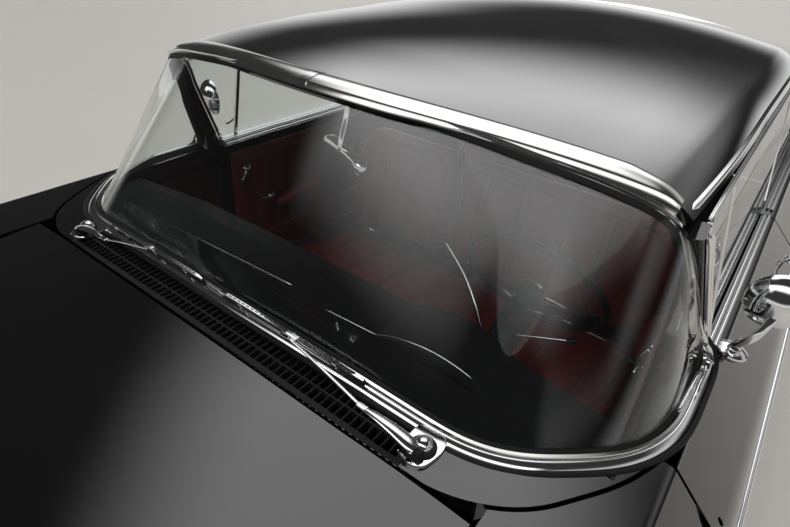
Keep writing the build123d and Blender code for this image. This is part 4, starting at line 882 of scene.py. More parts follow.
class HARDTOP_OT_panels(bpy.types.Operator):
    """Finishes on the panels, chassis and glass of the frame itself"""

    bl_idname = "hardtop.panels"
    bl_label = "Panels and glass"

    def execute(self, context):
        finishes = {
            "enamel": ("fender_left", "fender_right", "door_left", "door_right", "quarter_left",
                       "quarter_right", "hood", "trunk_lid", "cowl", "roof", "rear_deck", "nose_panel",
                       "tail_panel"),
            "chassis": ("frame", "floor_pan", "inner_fenders", "front_suspension", "rear_axle", "radiator",
                        "steering_column"),
            "iron": ("engine", "knuckle_left", "knuckle_right"),
            "chrome": ("front_bumper", "rear_bumper", "grille", "inside_mirror", "mirror_left",
                       "mirror_right", "wipers", "rim_front_left", "rim_front_right", "rim_rear_left",
                       "rim_rear_right"),
            "tyre": ("tyre_front_left", "tyre_front_right", "tyre_rear_left", "tyre_rear_right"),
            "glass": ("windshield", "backlight", "quarter_glass", "door_glass_left", "door_glass_right"),
            "lens": ("headlamps",),
            "red_lens": ("taillamps",),
            "dash": ("dash",),
            "plastic": ("steering_wheel",),
            "vinyl": ("front_seat", "rear_seat"),
            "rubber": ("cowl_grille",),
        }
        for finish, names in finishes.items():
            for name in names:
                mesh = NODES[name].data
                mesh.materials.clear()
                mesh.materials.append(look(finish))
        return {"FINISHED"}


class HARDTOP_OT_roof(bpy.types.Operator):
    """Roof with its pillars, wrapped windshield glass and headliner"""

    bl_idname = "hardtop.roof"
    bl_label = "Roof and windshield"

    def execute(self, context):
        u = np.concatenate([np.linspace(-2, -1, 9)[:-1], np.linspace(-1, 1, 61), np.linspace(1, 2, 9)[1:]])
        share = np.linspace(0, 1, 70)[:, None]
        width = np.clip(abs(u), 0, 1) * 0.64 + np.clip(abs(u) - 1, 0, 1) * 0.075
        front = roof_front_y(width)[None]
        y = front + (ROOF_REAR_Y - front) * share
        skin = sheet(roof_points(u[None] + 0 * y, y), roof_points(u[None] + 0 * y, y, ROOF_THICK))
        foot, top = np.array(PILLAR_FOOT), np.array(PILLAR_TOP)
        pillars = [carried([foot + (top - foot) * t for t in (0, 0.3, 0.6, 0.92)],
                           pill(0.042, 0.026, 5.0, 28), (1, 0, 0.2))]
        levels = []
        for outline, z in ((SAIL_LOW, SAIL_LOW_Z), (SAIL_HIGH, SAIL_HIGH_Z)):
            line = soften(resample(np.array(outline), 120, closed=True), 1, closed=True)
            levels.append(np.c_[line, np.full(len(line), z)])
        t = np.linspace(0, 1, 12)[:, None, None]
        pillars.append(solid(levels[0][None] + (levels[1] - levels[0])[None] * t))
        add("roof_skin", [skin, *pillars, *mirrored(pillars)], "enamel", "body", ("roof",),
            sharp=35)

        rows = []
        for share in np.linspace(0, 1, 26):
            edges = shield_edges(lambda x, share=share: cowl_z(x) * (1 - share) + shield_top_z(x) * share,
                                 1600)
            rows.append(resample(edges[0], 150))
        face = np.stack(rows)
        outer, out = face[..., :3], unit(face[..., 3:])
        add("windshield_glass", [sheet(outer, outer - out * GLASS)], "glass", "body",
            ("windshield",))

        u = np.linspace(-1.75, 1.75, 60)
        share = np.linspace(0, 1, 40)[:, None]
        y = -0.600 + 0.10 * (u / 1.75) ** 2 + (1.12 + 0.600 - 0.10 * (u / 1.75) ** 2) * share
        low = roof_points(u[None] + 0 * y, y, 0.036)
        bows = 0.004 * np.abs(np.sin(share * math.pi * 5)) ** 0.6
        low[..., 2] -= bows
        high = roof_points(u[None] + 0 * y, y, 0.026)
        add("headliner", [sheet(high, low)], "headliner", "body")
        return {"FINISHED"}


class HARDTOP_OT_windshield_trim(bpy.types.Operator):
    """Reveal mouldings, rubber and header trim round the windshield and rear window"""

    bl_idname = "hardtop.windshield_trim"
    bl_label = "Window surrounds"

    def execute(self, context):
        rubber = [(-0.012, 0.0), (-0.012, 0.004), (0.004, 0.007), (0.012, 0.002), (0.012, -0.010),
                  (-0.004, -0.012)]
        lip = [(0.029, -0.006), (0.030, 0.002), (0.034, 0.0028), (0.038, 0.0), (0.038, -0.006)]
        inner = [(0.001, 0.001), (0.002, 0.0085), (0.0055, 0.0125), (0.0105, 0.0115), (0.0135, 0.005),
                 (0.0135, -0.006), (0.001, -0.006)]
        outer = [(0.013, -0.006), (0.0135, 0.0065), (0.016, 0.0068), (0.029, -0.001), (0.031, -0.006)]
        places, out = edge_loop(shield_edges(), 420, 3)
        base = np.clip((1.10 - places[:, 2]) / 0.10, 0, 1)
        level = np.clip((1.05 - places[:, 2]) / 0.05, 0, 1)
        seal = [ring_moulding(places, out, rubber),
                ring_moulding(places, out, lip, away=-0.022 * (1 - base)[:, None], scale=0.5 + 0.5 * base,
                              level=level)]
        reveal = [ring_moulding(places, out, inner, scale=0.8 + 0.2 * base, level=level)]
        skirt = [ring_moulding(places, out, outer, away=-0.010 * (1 - base)[:, None], scale=0.6 + 0.4 * base,
                               level=level)]
        add("windshield_rubber", seal, "rubber", "body", sharp=60)
        add("windshield_reveal", reveal, "stainless", "body", sharp=50)
        add("windshield_skirt", skirt, "chrome", "body", sharp=50)

        # Header: a rounded band on the roof's front edge, a dark lip below it and a bright line on the lip
        _, _, top_edge, _ = shield_edges()
        order = np.argsort(top_edge[:, 0])
        x = np.linspace(-0.698, 0.698, 170)
        glass = np.stack([np.interp(x, top_edge[order, 0], top_edge[order, k]) for k in range(3)], 1)
        end = np.clip((0.706 - abs(x)) / 0.11, 0.0, 1)
        wide = 0.020 + 0.040 * end ** 0.8
        front = roof_front_y(x)
        swell = np.sin(np.linspace(0.02, 1, 14) * math.pi) ** 0.65
        band = []
        for share, rise in zip(np.linspace(0, 1, 14), swell):
            y = front - 0.004 + wide * share
            band.append(np.stack([x, y, roof_z(x, y) + 0.0010 + 0.0065 * rise * (0.4 + 0.6 * end)], 1))
        nose = np.stack([x, front - 0.0095, roof_z(x, front) - 0.010], 1)
        tuck = np.stack([x, front + 0.004, roof_z(x, front) - 0.016], 1)
        rear = np.stack([x, front + wide, roof_z(x, front + wide) - 0.006], 1)
        grid = np.stack([tuck, nose, *band, rear], 1)
        add("header_trim", [solid(grid)], "stainless", "body", sharp=38)
        join = abs(x + 0.052) < 0.018
        raised = grid[join] + (0, -0.001, 0.0016)
        raised[:, :2] += (0, -0.0012, -0.001)
        add("header_clip", [solid(raised)], "chrome", "body", sharp=38)
        lip = [glass + (nose - glass) * share + (0, -0.3 * rise, rise)
               for share, rise in ((0, 0.0), (0.08, 0.004), (0.30, 0.005), (0.7, 0.003), (1.0, 0.001))]
        lip += [glass + (tuck - glass) * share - (0, -0.004, 0.010) for share in (1.0, 0.5, 0.0)]
        add("header_rubber", [solid(np.stack(lip, 1))], "rubber", "body", sharp=50)
        wire_line = glass + (nose - glass) * 0.42 + (0, -0.0025, 0.0045)
        add("header_line", [carried(wire_line, pill(0.0055, 0.0035), (0, -0.6, 0.8))], "chrome", "body",
            sharp=50)

        places, out = edge_loop(backlight_edges(), 360, 3)
        add("backlight_reveal", [ring_moulding(places, out, inner)], "chrome", "body",
            sharp=50)
        add("backlight_rubber", [ring_moulding(places, out, rubber)], "rubber", "body",
            sharp=60)
        return {"FINISHED"}


class Skin:
    """The outer faces of some nodes, for finding where trim lies on them."""

    def __init__(self, *names):
        vertices, polygons = [], []
        for name in names:
            mesh = NODES[name].data
            start = len(vertices)
            vertices += [vertex.co.copy() for vertex in mesh.vertices]
            polygons += [[index + start for index in polygon.vertices] for polygon in mesh.polygons]
        self.tree = BVHTree.FromPolygons(vertices, polygons)

    def meet(self, x, y, z, direction):
        """Where lines from x, y, z in one direction first meet the faces: places, and outward normals."""
        starts = np.stack(np.broadcast_arrays(np.atleast_1d(x), y, z), 1)
        hits = [self.tree.ray_cast(tuple(start), direction) for start in starts.tolist()]
        places, normals = (np.array([hit[k] for hit in hits if hit[0] is not None]) for k in (0, 1))
        normals *= -np.sign((normals * np.asarray(direction, float)).sum(1))[:, None]
        return places, normals

    def from_side(self, y, z):
        """Places on the left side at some y and z."""
        return self.meet(1.4, y, z, (-1, 0, 0))

    def from_above(self, x, y, z=1.3):
        """Places below some x and y, from a height down."""
        return self.meet(x, y, z, (0, 0, -1))

    def from_cabin(self, x, z, y=-0.2):
        """Places ahead of the cabin at some x and z."""
        return self.meet(x, y, z, (0, -1, 0))


def laid(places, normals, profile, taper=0.0):
    """A moulding laid on a surface: its profile's side lies along the surface and its up points out of it.
    With taper, it narrows to rounded ends over that share of its length."""
    ahead = unit(np.gradient(places, axis=0))
    normals = unit(normals - ahead * (normals * ahead).sum(1)[:, None])
    side = np.cross(ahead, normals)
    t = np.linspace(0, 1, len(places))
    scale = np.ones(len(places))
    if taper:
        edge = np.minimum(t, 1 - t) / taper
        scale = np.sqrt(np.clip(1 - (1 - np.clip(edge, 0, 1)) ** 2, 0.003, 1))
    profile = np.asarray(profile, float)
    return solid(places[:, None] + scale[:, None, None] * (side[:, None] * profile[None, :, :1]
                                                           + normals[:, None] * profile[None, :, 1:]))


class HARDTOP_OT_wipers(bpy.types.Operator):
    """Wiper pivots on their plates, arms and bridged blades"""

    bl_idname = "hardtop.wipers"
    bl_label = "Wipers"

    def execute(self, context):
        upright = (0, 0, 1)
        corners = np.array([(-0.036, -0.034), (-0.036, 0.040), (0.014, 0.044), (0.030, 0.020),
                            (0.022, -0.032), (0.004, -0.046)])
        levels = [(1.0, -0.004), (1.0, 0.0045), (0.965, 0.0062), (0.6, 0.0066)]
        washer = [(0.0, 0.002), (0.0, 0.0225), (0.003, 0.0235), (0.006, 0.0215), (0.0065, 0.002)]
        turn = np.linspace(0, math.pi / 2, 9)
        dome = [(0.0, 0.001), (0.0, 0.0175), (0.004, 0.0178),
                *((0.006 + 0.015 * math.sin(a), 0.0165 * math.cos(a) + 0.0004) for a in turn)]
        channel = [(-0.0135, -0.004), (-0.0135, 0.001), (-0.010, 0.0042), (0.0, 0.0056), (0.010, 0.0042),
                   (0.0135, 0.001), (0.0135, -0.004), (0.0, 0.0005)]
        bridge = [(-0.0052, -0.003), (-0.0058, 0.001), (-0.004, 0.0038), (0.004, 0.0038), (0.0058, 0.001),
                  (0.0052, -0.003)]
        edge = [(-0.0022, 0.005), (0.0022, 0.005), (0.0007, -0.010), (-0.0007, -0.010)]
        bright, black, plain = [], [], []
        # Columns: pivot x, arm end x, arm end y, blade start x, blade end x
        for pivot_x, arm_x, arm_y, blade_low, blade_high in (
            (WIPER_X, 0.185, -1.030, -0.037, 0.360),
            (-WIPER_X, -0.290, -1.028, -0.447, -0.100),
        ):
            side = math.copysign(1, pivot_x)
            ground = float(cowl_z(pivot_x))
            rim = soften(resample(corners * (side, 1), 48, closed=True), 2, closed=True)
            plate = np.stack([np.c_[rim * k + (pivot_x, WIPER_Y + 0.002), np.full(len(rim), ground + h)]
                              for k, h in levels])
            bright.append(solid(plate))
            centre = (pivot_x + side * -0.002, WIPER_Y, ground + 0.006)
            black.append(spin(washer, centre, upright, 36))
            bright.append(spin(dome, centre, upright, 36))
            foot = np.array((pivot_x - side * 0.004, WIPER_Y - 0.020, ground + 0.020))
            knee = np.array((pivot_x - side * 0.118, WIPER_Y - 0.016, ground + 0.030))
            tip = np.array((arm_x, arm_y, 1.019))
            wide = np.linspace(0, 1, 14)[:, None]
            arm = foot + (knee - foot) * wide + np.array((0, 0, 0.006)) * np.sin(wide * math.pi)
            narrowing = np.interp(wide[:, 0], [0, 0.08, 0.25, 1], [0.75, 1.0, 0.92, 0.36])
            bright.append(carried(arm, channel, upright, narrowing))
            # Painted shade: a black bar under the arm's foot, put where the arm's shadow falls on the plate.
            black.append(tube([foot + (side * 0.012, 0, -0.008), foot + (-side * 0.016, 0.001, -0.008)],
                              0.009))
            bright.append(slab(knee - (0.011, 0.0055, 0.005), knee + (0.011, 0.0055, 0.004), 0.002))
            rod = curve([knee, (knee * 0.5 + tip * 0.5) + (0, 0, 0.002), tip], 20)
            bright.append(carried(rod, pill(0.0062, 0.0032), upright))
            blade_y = arm_y + 0.012
            x = np.linspace(blade_low, blade_high, 60)
            sag = 0.002 * np.cos((x - x.mean()) / (x[-1] - x[0]) * math.pi)
            line = np.c_[x, np.full(60, blade_y), cowl_z(x) + 0.024 + sag]
            ends = np.interp(x, [x[0], x[0] + 0.02, x[-1] - 0.02, x[-1]], [0.45, 1, 1, 0.45])
            bright.append(carried(line, bridge, upright, ends))
            for slot_x in np.arange(blade_low + 0.022, blade_high - 0.015, 0.0135):
                z = float(np.interp(slot_x, x, line[:, 2])) + 0.0036
                black.append(slab((slot_x - 0.0042, blade_y - 0.0014, z - 0.001),
                                  (slot_x + 0.0042, blade_y + 0.0014, z + 0.0006), 0.0004, 1))
            black.append(carried(line + (0, 0.0045, -0.007), edge, upright))
            hub = np.array((arm_x, blade_y - 0.004, 1.0195))
            bright.append(slab(hub - (0.016, 0.007, 0.004), hub + (0.016, 0.006, 0.005), 0.002))
            plain.append(tube([hub + (0, -0.010, 0.001), hub + (0, 0.008, 0.001)], 0.0035, 10))
            for claw in (0.17, 0.5, 0.83):
                claw_x = blade_low + (blade_high - blade_low) * claw
                z = float(np.interp(claw_x, x, line[:, 2]))
                plain.append(slab((claw_x - 0.007, blade_y - 0.007, z - 0.007),
                                  (claw_x + 0.007, blade_y + 0.0075, z + 0.001), 0.0015, 2))
        add("wiper_arms", bright, "chrome", "body", ("wipers",), sharp=35)
        add("wiper_rubbers_and_shade_bar", black, "rubber", "body", sharp=35)
        add("wiper_clips", plain, "stainless", "body", sharp=35)
        return {"FINISHED"}


def evaluated(piece):
    """A piece as its modifiers leave it."""
    return piece.evaluated_get(bpy.context.evaluated_depsgraph_get())


def baked(piece):
    """A piece with its modifiers applied to its mesh."""
    mesh = bpy.data.meshes.new_from_object(evaluated(piece))
    piece.modifiers.clear()
    piece.data = mesh
    return mesh


def read_points(mesh, attribute="co"):
    """A mesh's places or normals as rows of three."""
    values = np.empty(len(mesh.vertices) * 3)
    mesh.vertices.foreach_get(attribute, values)
    return values.reshape(-1, 3)


def settle(piece, voxel, cap, sewn):
    """Fills a pad by cloth simulation: remeshed, blown up over twenty frames, each point kept near its start.
    The points that are sewn stay where they are."""
    remesh = piece.modifiers.new("Remesh", "REMESH")
    remesh.mode = "VOXEL"
    remesh.voxel_size = voxel
    even = baked(piece)
    start = read_points(even)
    cloth = piece.modifiers.new("Cloth", "CLOTH")
    cloth.settings.use_pressure = True
    cloth.settings.uniform_pressure_force = PAD_PRESSURE
    cloth.settings.effector_weights.gravity = 0.0
    cloth.settings.quality = 4
    group = piece.vertex_groups.new(name="sewn")
    group.add(np.flatnonzero(sewn(start)).tolist(), 1.0, "REPLACE")
    cloth.settings.vertex_group_mass = "sewn"
    for step in range(1, PAD_FRAMES + 1):
        bpy.context.scene.frame_set(step)
    move = read_points(evaluated(piece).data) - start
    length = np.linalg.norm(move, axis=1, keepdims=True)
    start = start + move * np.minimum(1.0, cap / np.maximum(length, 1e-9))
    piece.modifiers.clear()
    piece.vertex_groups.clear()
    bpy.context.scene.frame_set(1)
    even.vertices.foreach_set("co", start.ravel())
    even.update()
    finer = piece.modifiers.new("Subdivision", "SUBSURF")
    finer.levels = finer.render_levels = 1
    baked(piece).shade_smooth()


def sew(piece, distance, depth, width):
    """Draws sewn channels into a pad: each point sinks along its normal by a bell curve of its distance to
    a sewn line. A narrower bell curve is kept as a mesh attribute: the mask of the painted shade that the
    material lays in the channels."""
    mesh = piece.data
    points, normals = read_points(mesh), read_points(mesh, "normal")
    reach = distance(points, normals)
    points = points - normals * (depth * np.exp(-(reach / width) ** 2))[:, None]
    mesh.vertices.foreach_set("co", points.ravel())
    # Mask of the painted shade in the channels, for the material.
    seam_shade = mesh.attributes.new("seam_shade", "FLOAT", "POINT")
    seam_shade.data.foreach_set("value", np.exp(-(reach / (0.55 * width)) ** 2).astype(np.float32))
    mesh.update()


def seat_pad(name, outline, low_x, high_x, corner, waist, inset=0.012):
    """A pad: its side outline, rounded and drawn in, is carried across the car. Towards a rounded end the
    outline shrinks to its middle along a quarter of an oval. Above a waist height its top comes down by
    the corner."""
    side = soften(resample(np.array(outline), 96, closed=True), 3, closed=True)
    middle = side.mean(0)
    side = side - unit(side - middle) * inset
    t = np.linspace(0, 1, 90)
    x = low_x + inset + (high_x - low_x - 2 * inset) * (0.5 - 0.5 * np.cos(t * math.pi))
    reach = np.minimum(x - low_x, high_x - x)
    shrink = np.sqrt(np.clip(1 - (1 - np.clip(reach / 0.055, 0, 1)) ** 2, 0.02, 1)) * 0.34 + 0.66
    drop = np.zeros(len(x))
    for radius, gap in zip(corner, (x - low_x, high_x - x)):
        if radius:
            inner = np.clip(radius - gap, 0, radius)
            drop = np.maximum(drop, radius - np.sqrt(radius**2 - inner**2 + 1e-12))
    rows = middle + (side[None] - middle) * shrink[:, None, None]
    z = rows[..., 1]
    share = np.clip((z - waist) / (side[:, 1].max() - waist), 0, 1)
    rows[..., 1] = z - share * drop[:, None]
    grid = np.concatenate([np.broadcast_to(x[:, None, None], rows.shape[:2] + (1,)), rows], -1)
    return build(name, [solid(grid)])


def pleats(points, low, high, pitch=0.160, pair=0.011):
    """Distance across the car to the nearest of some pairs of seams, and far away outside their field."""
    x = points[:, 0]
    inside = (x > low) & (x < high)
    phase = (x - low) % pitch - pitch / 2
    return np.where(inside, np.abs(np.abs(phase) - pair), 1.0)


def insert_edge(u, v, low, high, radius):
    """Distance to the outline of a rounded rectangle."""
    centre, half = (np.add(low, high)) / 2, (np.subtract(high, low)) / 2 - radius
    q = np.abs(np.stack([u, v], 1) - centre) - half
    return np.abs(np.linalg.norm(np.maximum(q, 0), axis=1) + np.minimum(q.max(1), 0) - radius)


class HARDTOP_OT_seats(bpy.types.Operator):
    """Front bench with two backs, and the rear bench"""

    bl_idname = "hardtop.seats"
    bl_label = "Seats"

    def execute(self, context):
        depth = context.scene.hardtop_cabin.pleat_depth
        front_cushion = [(-0.320, 0.300), (0.160, 0.300), (0.180, 0.462), (-0.270, 0.522), (-0.338, 0.490),
                         (-0.345, 0.410)]
        front_back = [(0.130, 0.500), (0.195, 0.462), (0.282, 0.560), (0.296, 0.900), (0.262, 0.955),
                      (0.208, 0.930), (0.150, 0.700)]
        rear_cushion = [(0.440, 0.300), (0.700, 0.310), (0.820, 0.470), (0.800, 0.494), (0.470, 0.500),
                        (0.430, 0.455)]
        rear_back = [(0.868, 0.530), (0.930, 0.562), (1.050, 0.570), (1.106, 0.870), (1.070, 0.910),
                     (1.010, 0.895), (0.925, 0.680)]
        # Columns: name, node that it replaces, side outline, low x, high x, top corner radii, waist height,
        # insert's low and high corners on the face, whether the face is the top
        pads = (
            ("front_cushion", "front_seat", front_cushion, -0.688, 0.688, (0, 0), 0.40, (-0.640, -0.262),
             (0.640, 0.120), True),
            ("front_back_right", "front_seat", front_back, -0.688, -0.183, (0.130, 0.020), 0.62,
             (-0.610, 0.40), (-0.232, 0.890), False),
            ("front_back_left", "front_seat", front_back, -0.177, 0.688, (0.020, 0.130), 0.62, (-0.128, 0.40),
             (0.610, 0.890), False),
            ("rear_cushion", "rear_seat", rear_cushion, -0.638, 0.638, (0, 0), 0.40, (-0.590, 0.480),
             (0.590, 0.780), True),
            ("rear_back", "rear_seat", rear_back, -0.583, 0.583, (0.060, 0.060), 0.66, (-0.540, 0.50),
             (0.540, 0.850), False),
        )
        for name, cad, outline, low_x, high_x, corner, waist, low, high, flat in pads:
            piece = seat_pad(name, outline, low_x, high_x, corner, waist)

            def seams(points, normals=None, low=low, high=high, flat=flat):
                """Distance to the nearest sewn line of the insert, and far away on the pad's other sides."""
                u, v = points[:, 0], points[:, 1 if flat else 2]
                within = (u > low[0]) & (u < high[0]) & (v > low[1]) & (v < high[1])
                channels = np.where(within, pleats(points, low[0], high[0]), 1.0)
                reach = np.minimum(channels, insert_edge(u, v, low, high, INSERT_CORNER))
                if normals is None:
                    return reach
                seen = normals[:, 2] > 0.35 if flat else normals[:, 1] < -0.35
                return np.where(seen, reach, 1.0)

            settle(piece, PAD_VOXEL, PAD_CAP, lambda points: seams(points) < PAD_SEWN)
            sew(piece, seams, depth, SEAM_WIDTH)
            place(piece, look("seat_vinyl"), "body", (cad,))
        return {"FINISHED"}


class HARDTOP_OT_mirrors(bpy.types.Operator):
    """Inside mirror on its stem, and round mirrors on the doors"""

    bl_idname = "hardtop.mirrors"
    bl_label = "Mirrors"

    def execute(self, context):
        centre, turn = np.array((0.0, -0.672, 1.232)), math.radians(-24)
        across = np.array((math.cos(turn), math.sin(turn), 0.0))
        towards = np.array((-math.sin(turn), math.cos(turn), 0.0))
        upright = np.array((0, 0, 1.0))
        rim = pill(0.200, 0.050, 3.4, 48)

        def rings(levels, narrowing):
            """Rims at depths towards the driver. Columns: depth, share of the height."""
            return solid(np.stack([centre + towards * depth + across * rim[:, :1] * (1 - (1 - k) * narrowing)
                                   + upright * rim[:, 1:] * k for depth, k in levels]))

        stem = curve([(0, -0.657, 1.392), (0, -0.664, 1.32), (0, -0.682, 1.262), (0, -0.684, 1.238)], 20)
        case = [
            rings(((-0.012, 0.55), (-0.011, 0.82), (-0.006, 0.97), (0.002, 1.0), (0.008, 1.0), (0.010, 0.97),
                   (0.0095, 0.95)), 0.4),
            carried(stem, pill(0.013, 0.008), (0, 1, 0)),
            spin([(0, 0.001), (0, 0.019), (0.006, 0.017), (0.012, 0.008), (0.013, 0.001)], (0, -0.656, 1.384),
                 (0, -0.12, -1), 24),
        ]
        add("inside_mirror_case", case, "chrome", "body", ("inside_mirror",))
        add("inside_mirror_glass", [rings(((0.0085, 0.93), (0.0105, 0.93), (0.0108, 0.5)), 1.0)], "mirror",
            "body", sharp=30)
        head = np.array((0.905, -0.385, 1.100))
        aim = unit(np.array((-0.25, 1.0, 0.02)))
        bowl = [(0.014, 0.001), (0.014, 0.055), (0.018, 0.060), (0.020, 0.0615), (0.016, 0.0625),
                (0.006, 0.060), (-0.008, 0.050), (-0.020, 0.034), (-0.027, 0.016), (-0.029, 0.001)]
        base = [(-0.014, 0.022), (0.0, 0.032), (0.004, 0.031), (0.008, 0.024), (0.011, 0.012), (0.012, 0.001)]
        stalk = curve([(0.868, -0.405, 0.972), (0.872, -0.420, 1.005), (0.890, -0.424, 1.035),
                       (0.902, -0.412, 1.070), (0.905, -0.398, 1.095)], 26)
        girth = np.interp(np.linspace(0, 1, 26), [0, 0.25, 0.7, 1], [1.5, 1.0, 0.85, 1.15])
        shells = [spin(bowl, head, aim, 44), carried(stalk, pill(0.020, 0.013), (0, 1, 0.2), girth),
                  spin(base, (0.868, -0.405, 0.9725), (0.12, 0, 1), 32)]
        glass = [spin([(0.0135, 0.001), (0.0135, 0.0545), (0.0155, 0.0545), (0.0162, 0.001)], head, aim, 40)]
        both_sides("door_mirror", shells, "chrome", "door_{}", ("mirror_{}",), sharp=45)
        both_sides("door_mirror_glass", glass, "mirror", "door_{}", sharp=30)
        return {"FINISHED"}


class HARDTOP_OT_steering(bpy.types.Operator):
    """Steering wheel with gripped rim and horn ring, column cover and levers"""

    bl_idname = "hardtop.steering"
    bl_label = "Steering"

    def execute(self, context):
        ahead = np.array((0.0, math.cos(STEER_RAKE), math.sin(STEER_RAKE)))
        across = np.array((1.0, 0.0, 0.0))
        up = np.cross(ahead, across) * -1

        def outwards(angles):
            """Directions out from the column at some angles."""
            return across * np.cos(angles)[..., None] + up * np.sin(angles)[..., None]

        a = circle(240)
        bumps = 1 - 0.10 * np.clip(np.cos(a * 60), 0, 1) ** 2
        b = circle(14)
        wave = 0.0100 * (1 + (bumps[:, None] - 1) * np.clip(-np.cos(b), 0.2, 1)[None, :])
        rim = (STEER_CENTRE + outwards(a)[:, None] * (0.205 + wave * np.cos(b))[..., None]
               + ahead * (wave * np.sin(b))[..., None])
        wheel = [shell(rim, wrap_rows=True, wrap_columns=True)]
        girth = np.interp(np.linspace(0, 1, 18), [0, 0.3, 0.85, 1], [1.35, 0.9, 0.75, 1.05])
        r = np.linspace(0.030, 0.200, 18)[:, None]
        for angle in (-8, 188):
            line = STEER_CENTRE + outwards(np.radians(angle)) * r + ahead * (-0.045 + 0.045 * (r / 0.2) ** 2)
            wheel.append(carried(line, pill(0.030, 0.012), ahead, girth))
        hub = [(-0.084, 0.012), (-0.084, 0.036), (-0.050, 0.040), (-0.028, 0.046), (-0.022, 0.044),
               (-0.020, 0.012)]
        wheel.append(spin(hub, STEER_CENTRE, ahead, 40))
        add("steering_rim", wheel, "plastic", "steering_wheel", ("steering_wheel",))
        horn_centre = STEER_CENTRE - ahead * HORN_SINK
        horn = STEER_CENTRE + outwards(np.radians(np.linspace(195, 345, 70))) * HORN_R - ahead * HORN_SINK
        bright = [tube(horn, 0.0048, 10, ahead)]
        for angle in (195, 345):
            spoke = [horn_centre + outwards(np.radians(angle)) * r for r in (0.042, 0.085, HORN_R)]
            bright.append(tube(spoke, 0.0045, 10, ahead))
        cap = [(-0.021, 0.001), (-0.021, 0.040), (-0.014, 0.041), (-0.008, 0.036), (-0.003, 0.024),
               (0.0, 0.010), (0.0005, 0.001)]
        bright.append(spin(cap, STEER_CENTRE, ahead, 40))
        add("horn_ring", bright, "chrome", "steering_wheel")
        cover = [(-0.560, 0.026), (-0.556, 0.036), (-0.330, 0.038), (-0.160, 0.042), (-0.110, 0.046),
                 (-0.098, 0.043), (-0.097, 0.012), (-0.12, 0.010)]
        add("column_cover", [spin(cover, STEER_CENTRE, ahead, 40)], "plastic", "body")
        lever = curve([(0.365, -0.520, 0.765), (0.315, -0.500, 0.850), (0.262, -0.475, 0.905),
                       (0.158, -0.440, 0.975)], 26)
        signal = curve([(0.410, -0.455, 0.790), (0.470, -0.450, 0.812), (0.560, -0.440, 0.842)], 16)
        rods = [tube(lever, 0.0042, 10), tube(signal, 0.0036, 10)]
        add("column_levers", rods, "chrome", "body")
        large = [(-0.018, 0.001), (-0.016, 0.006), (-0.004, 0.0105), (0.006, 0.011), (0.013, 0.007),
                 (0.015, 0.001)]
        small = [(-0.020, 0.001), (-0.018, 0.005), (0.0, 0.007), (0.006, 0.005), (0.008, 0.001)]
        knobs = [spin(large, lever[-1], lever[-1] - lever[-2], 24),
                 spin(small, signal[-1], signal[-1] - signal[-2], 20)]
        add("lever_knobs", knobs, "plastic", "body")
        return {"FINISHED"}


def side_glass_x(z):
    """Outer face of the leaning side glass at a height."""
    return SIDE_GLASS_LOW[0] + (SIDE_GLASS_HIGH[0] - SIDE_GLASS_LOW[0]) * (
        (z - SIDE_GLASS_LOW[1]) / (SIDE_GLASS_HIGH[1] - SIDE_GLASS_LOW[1]))


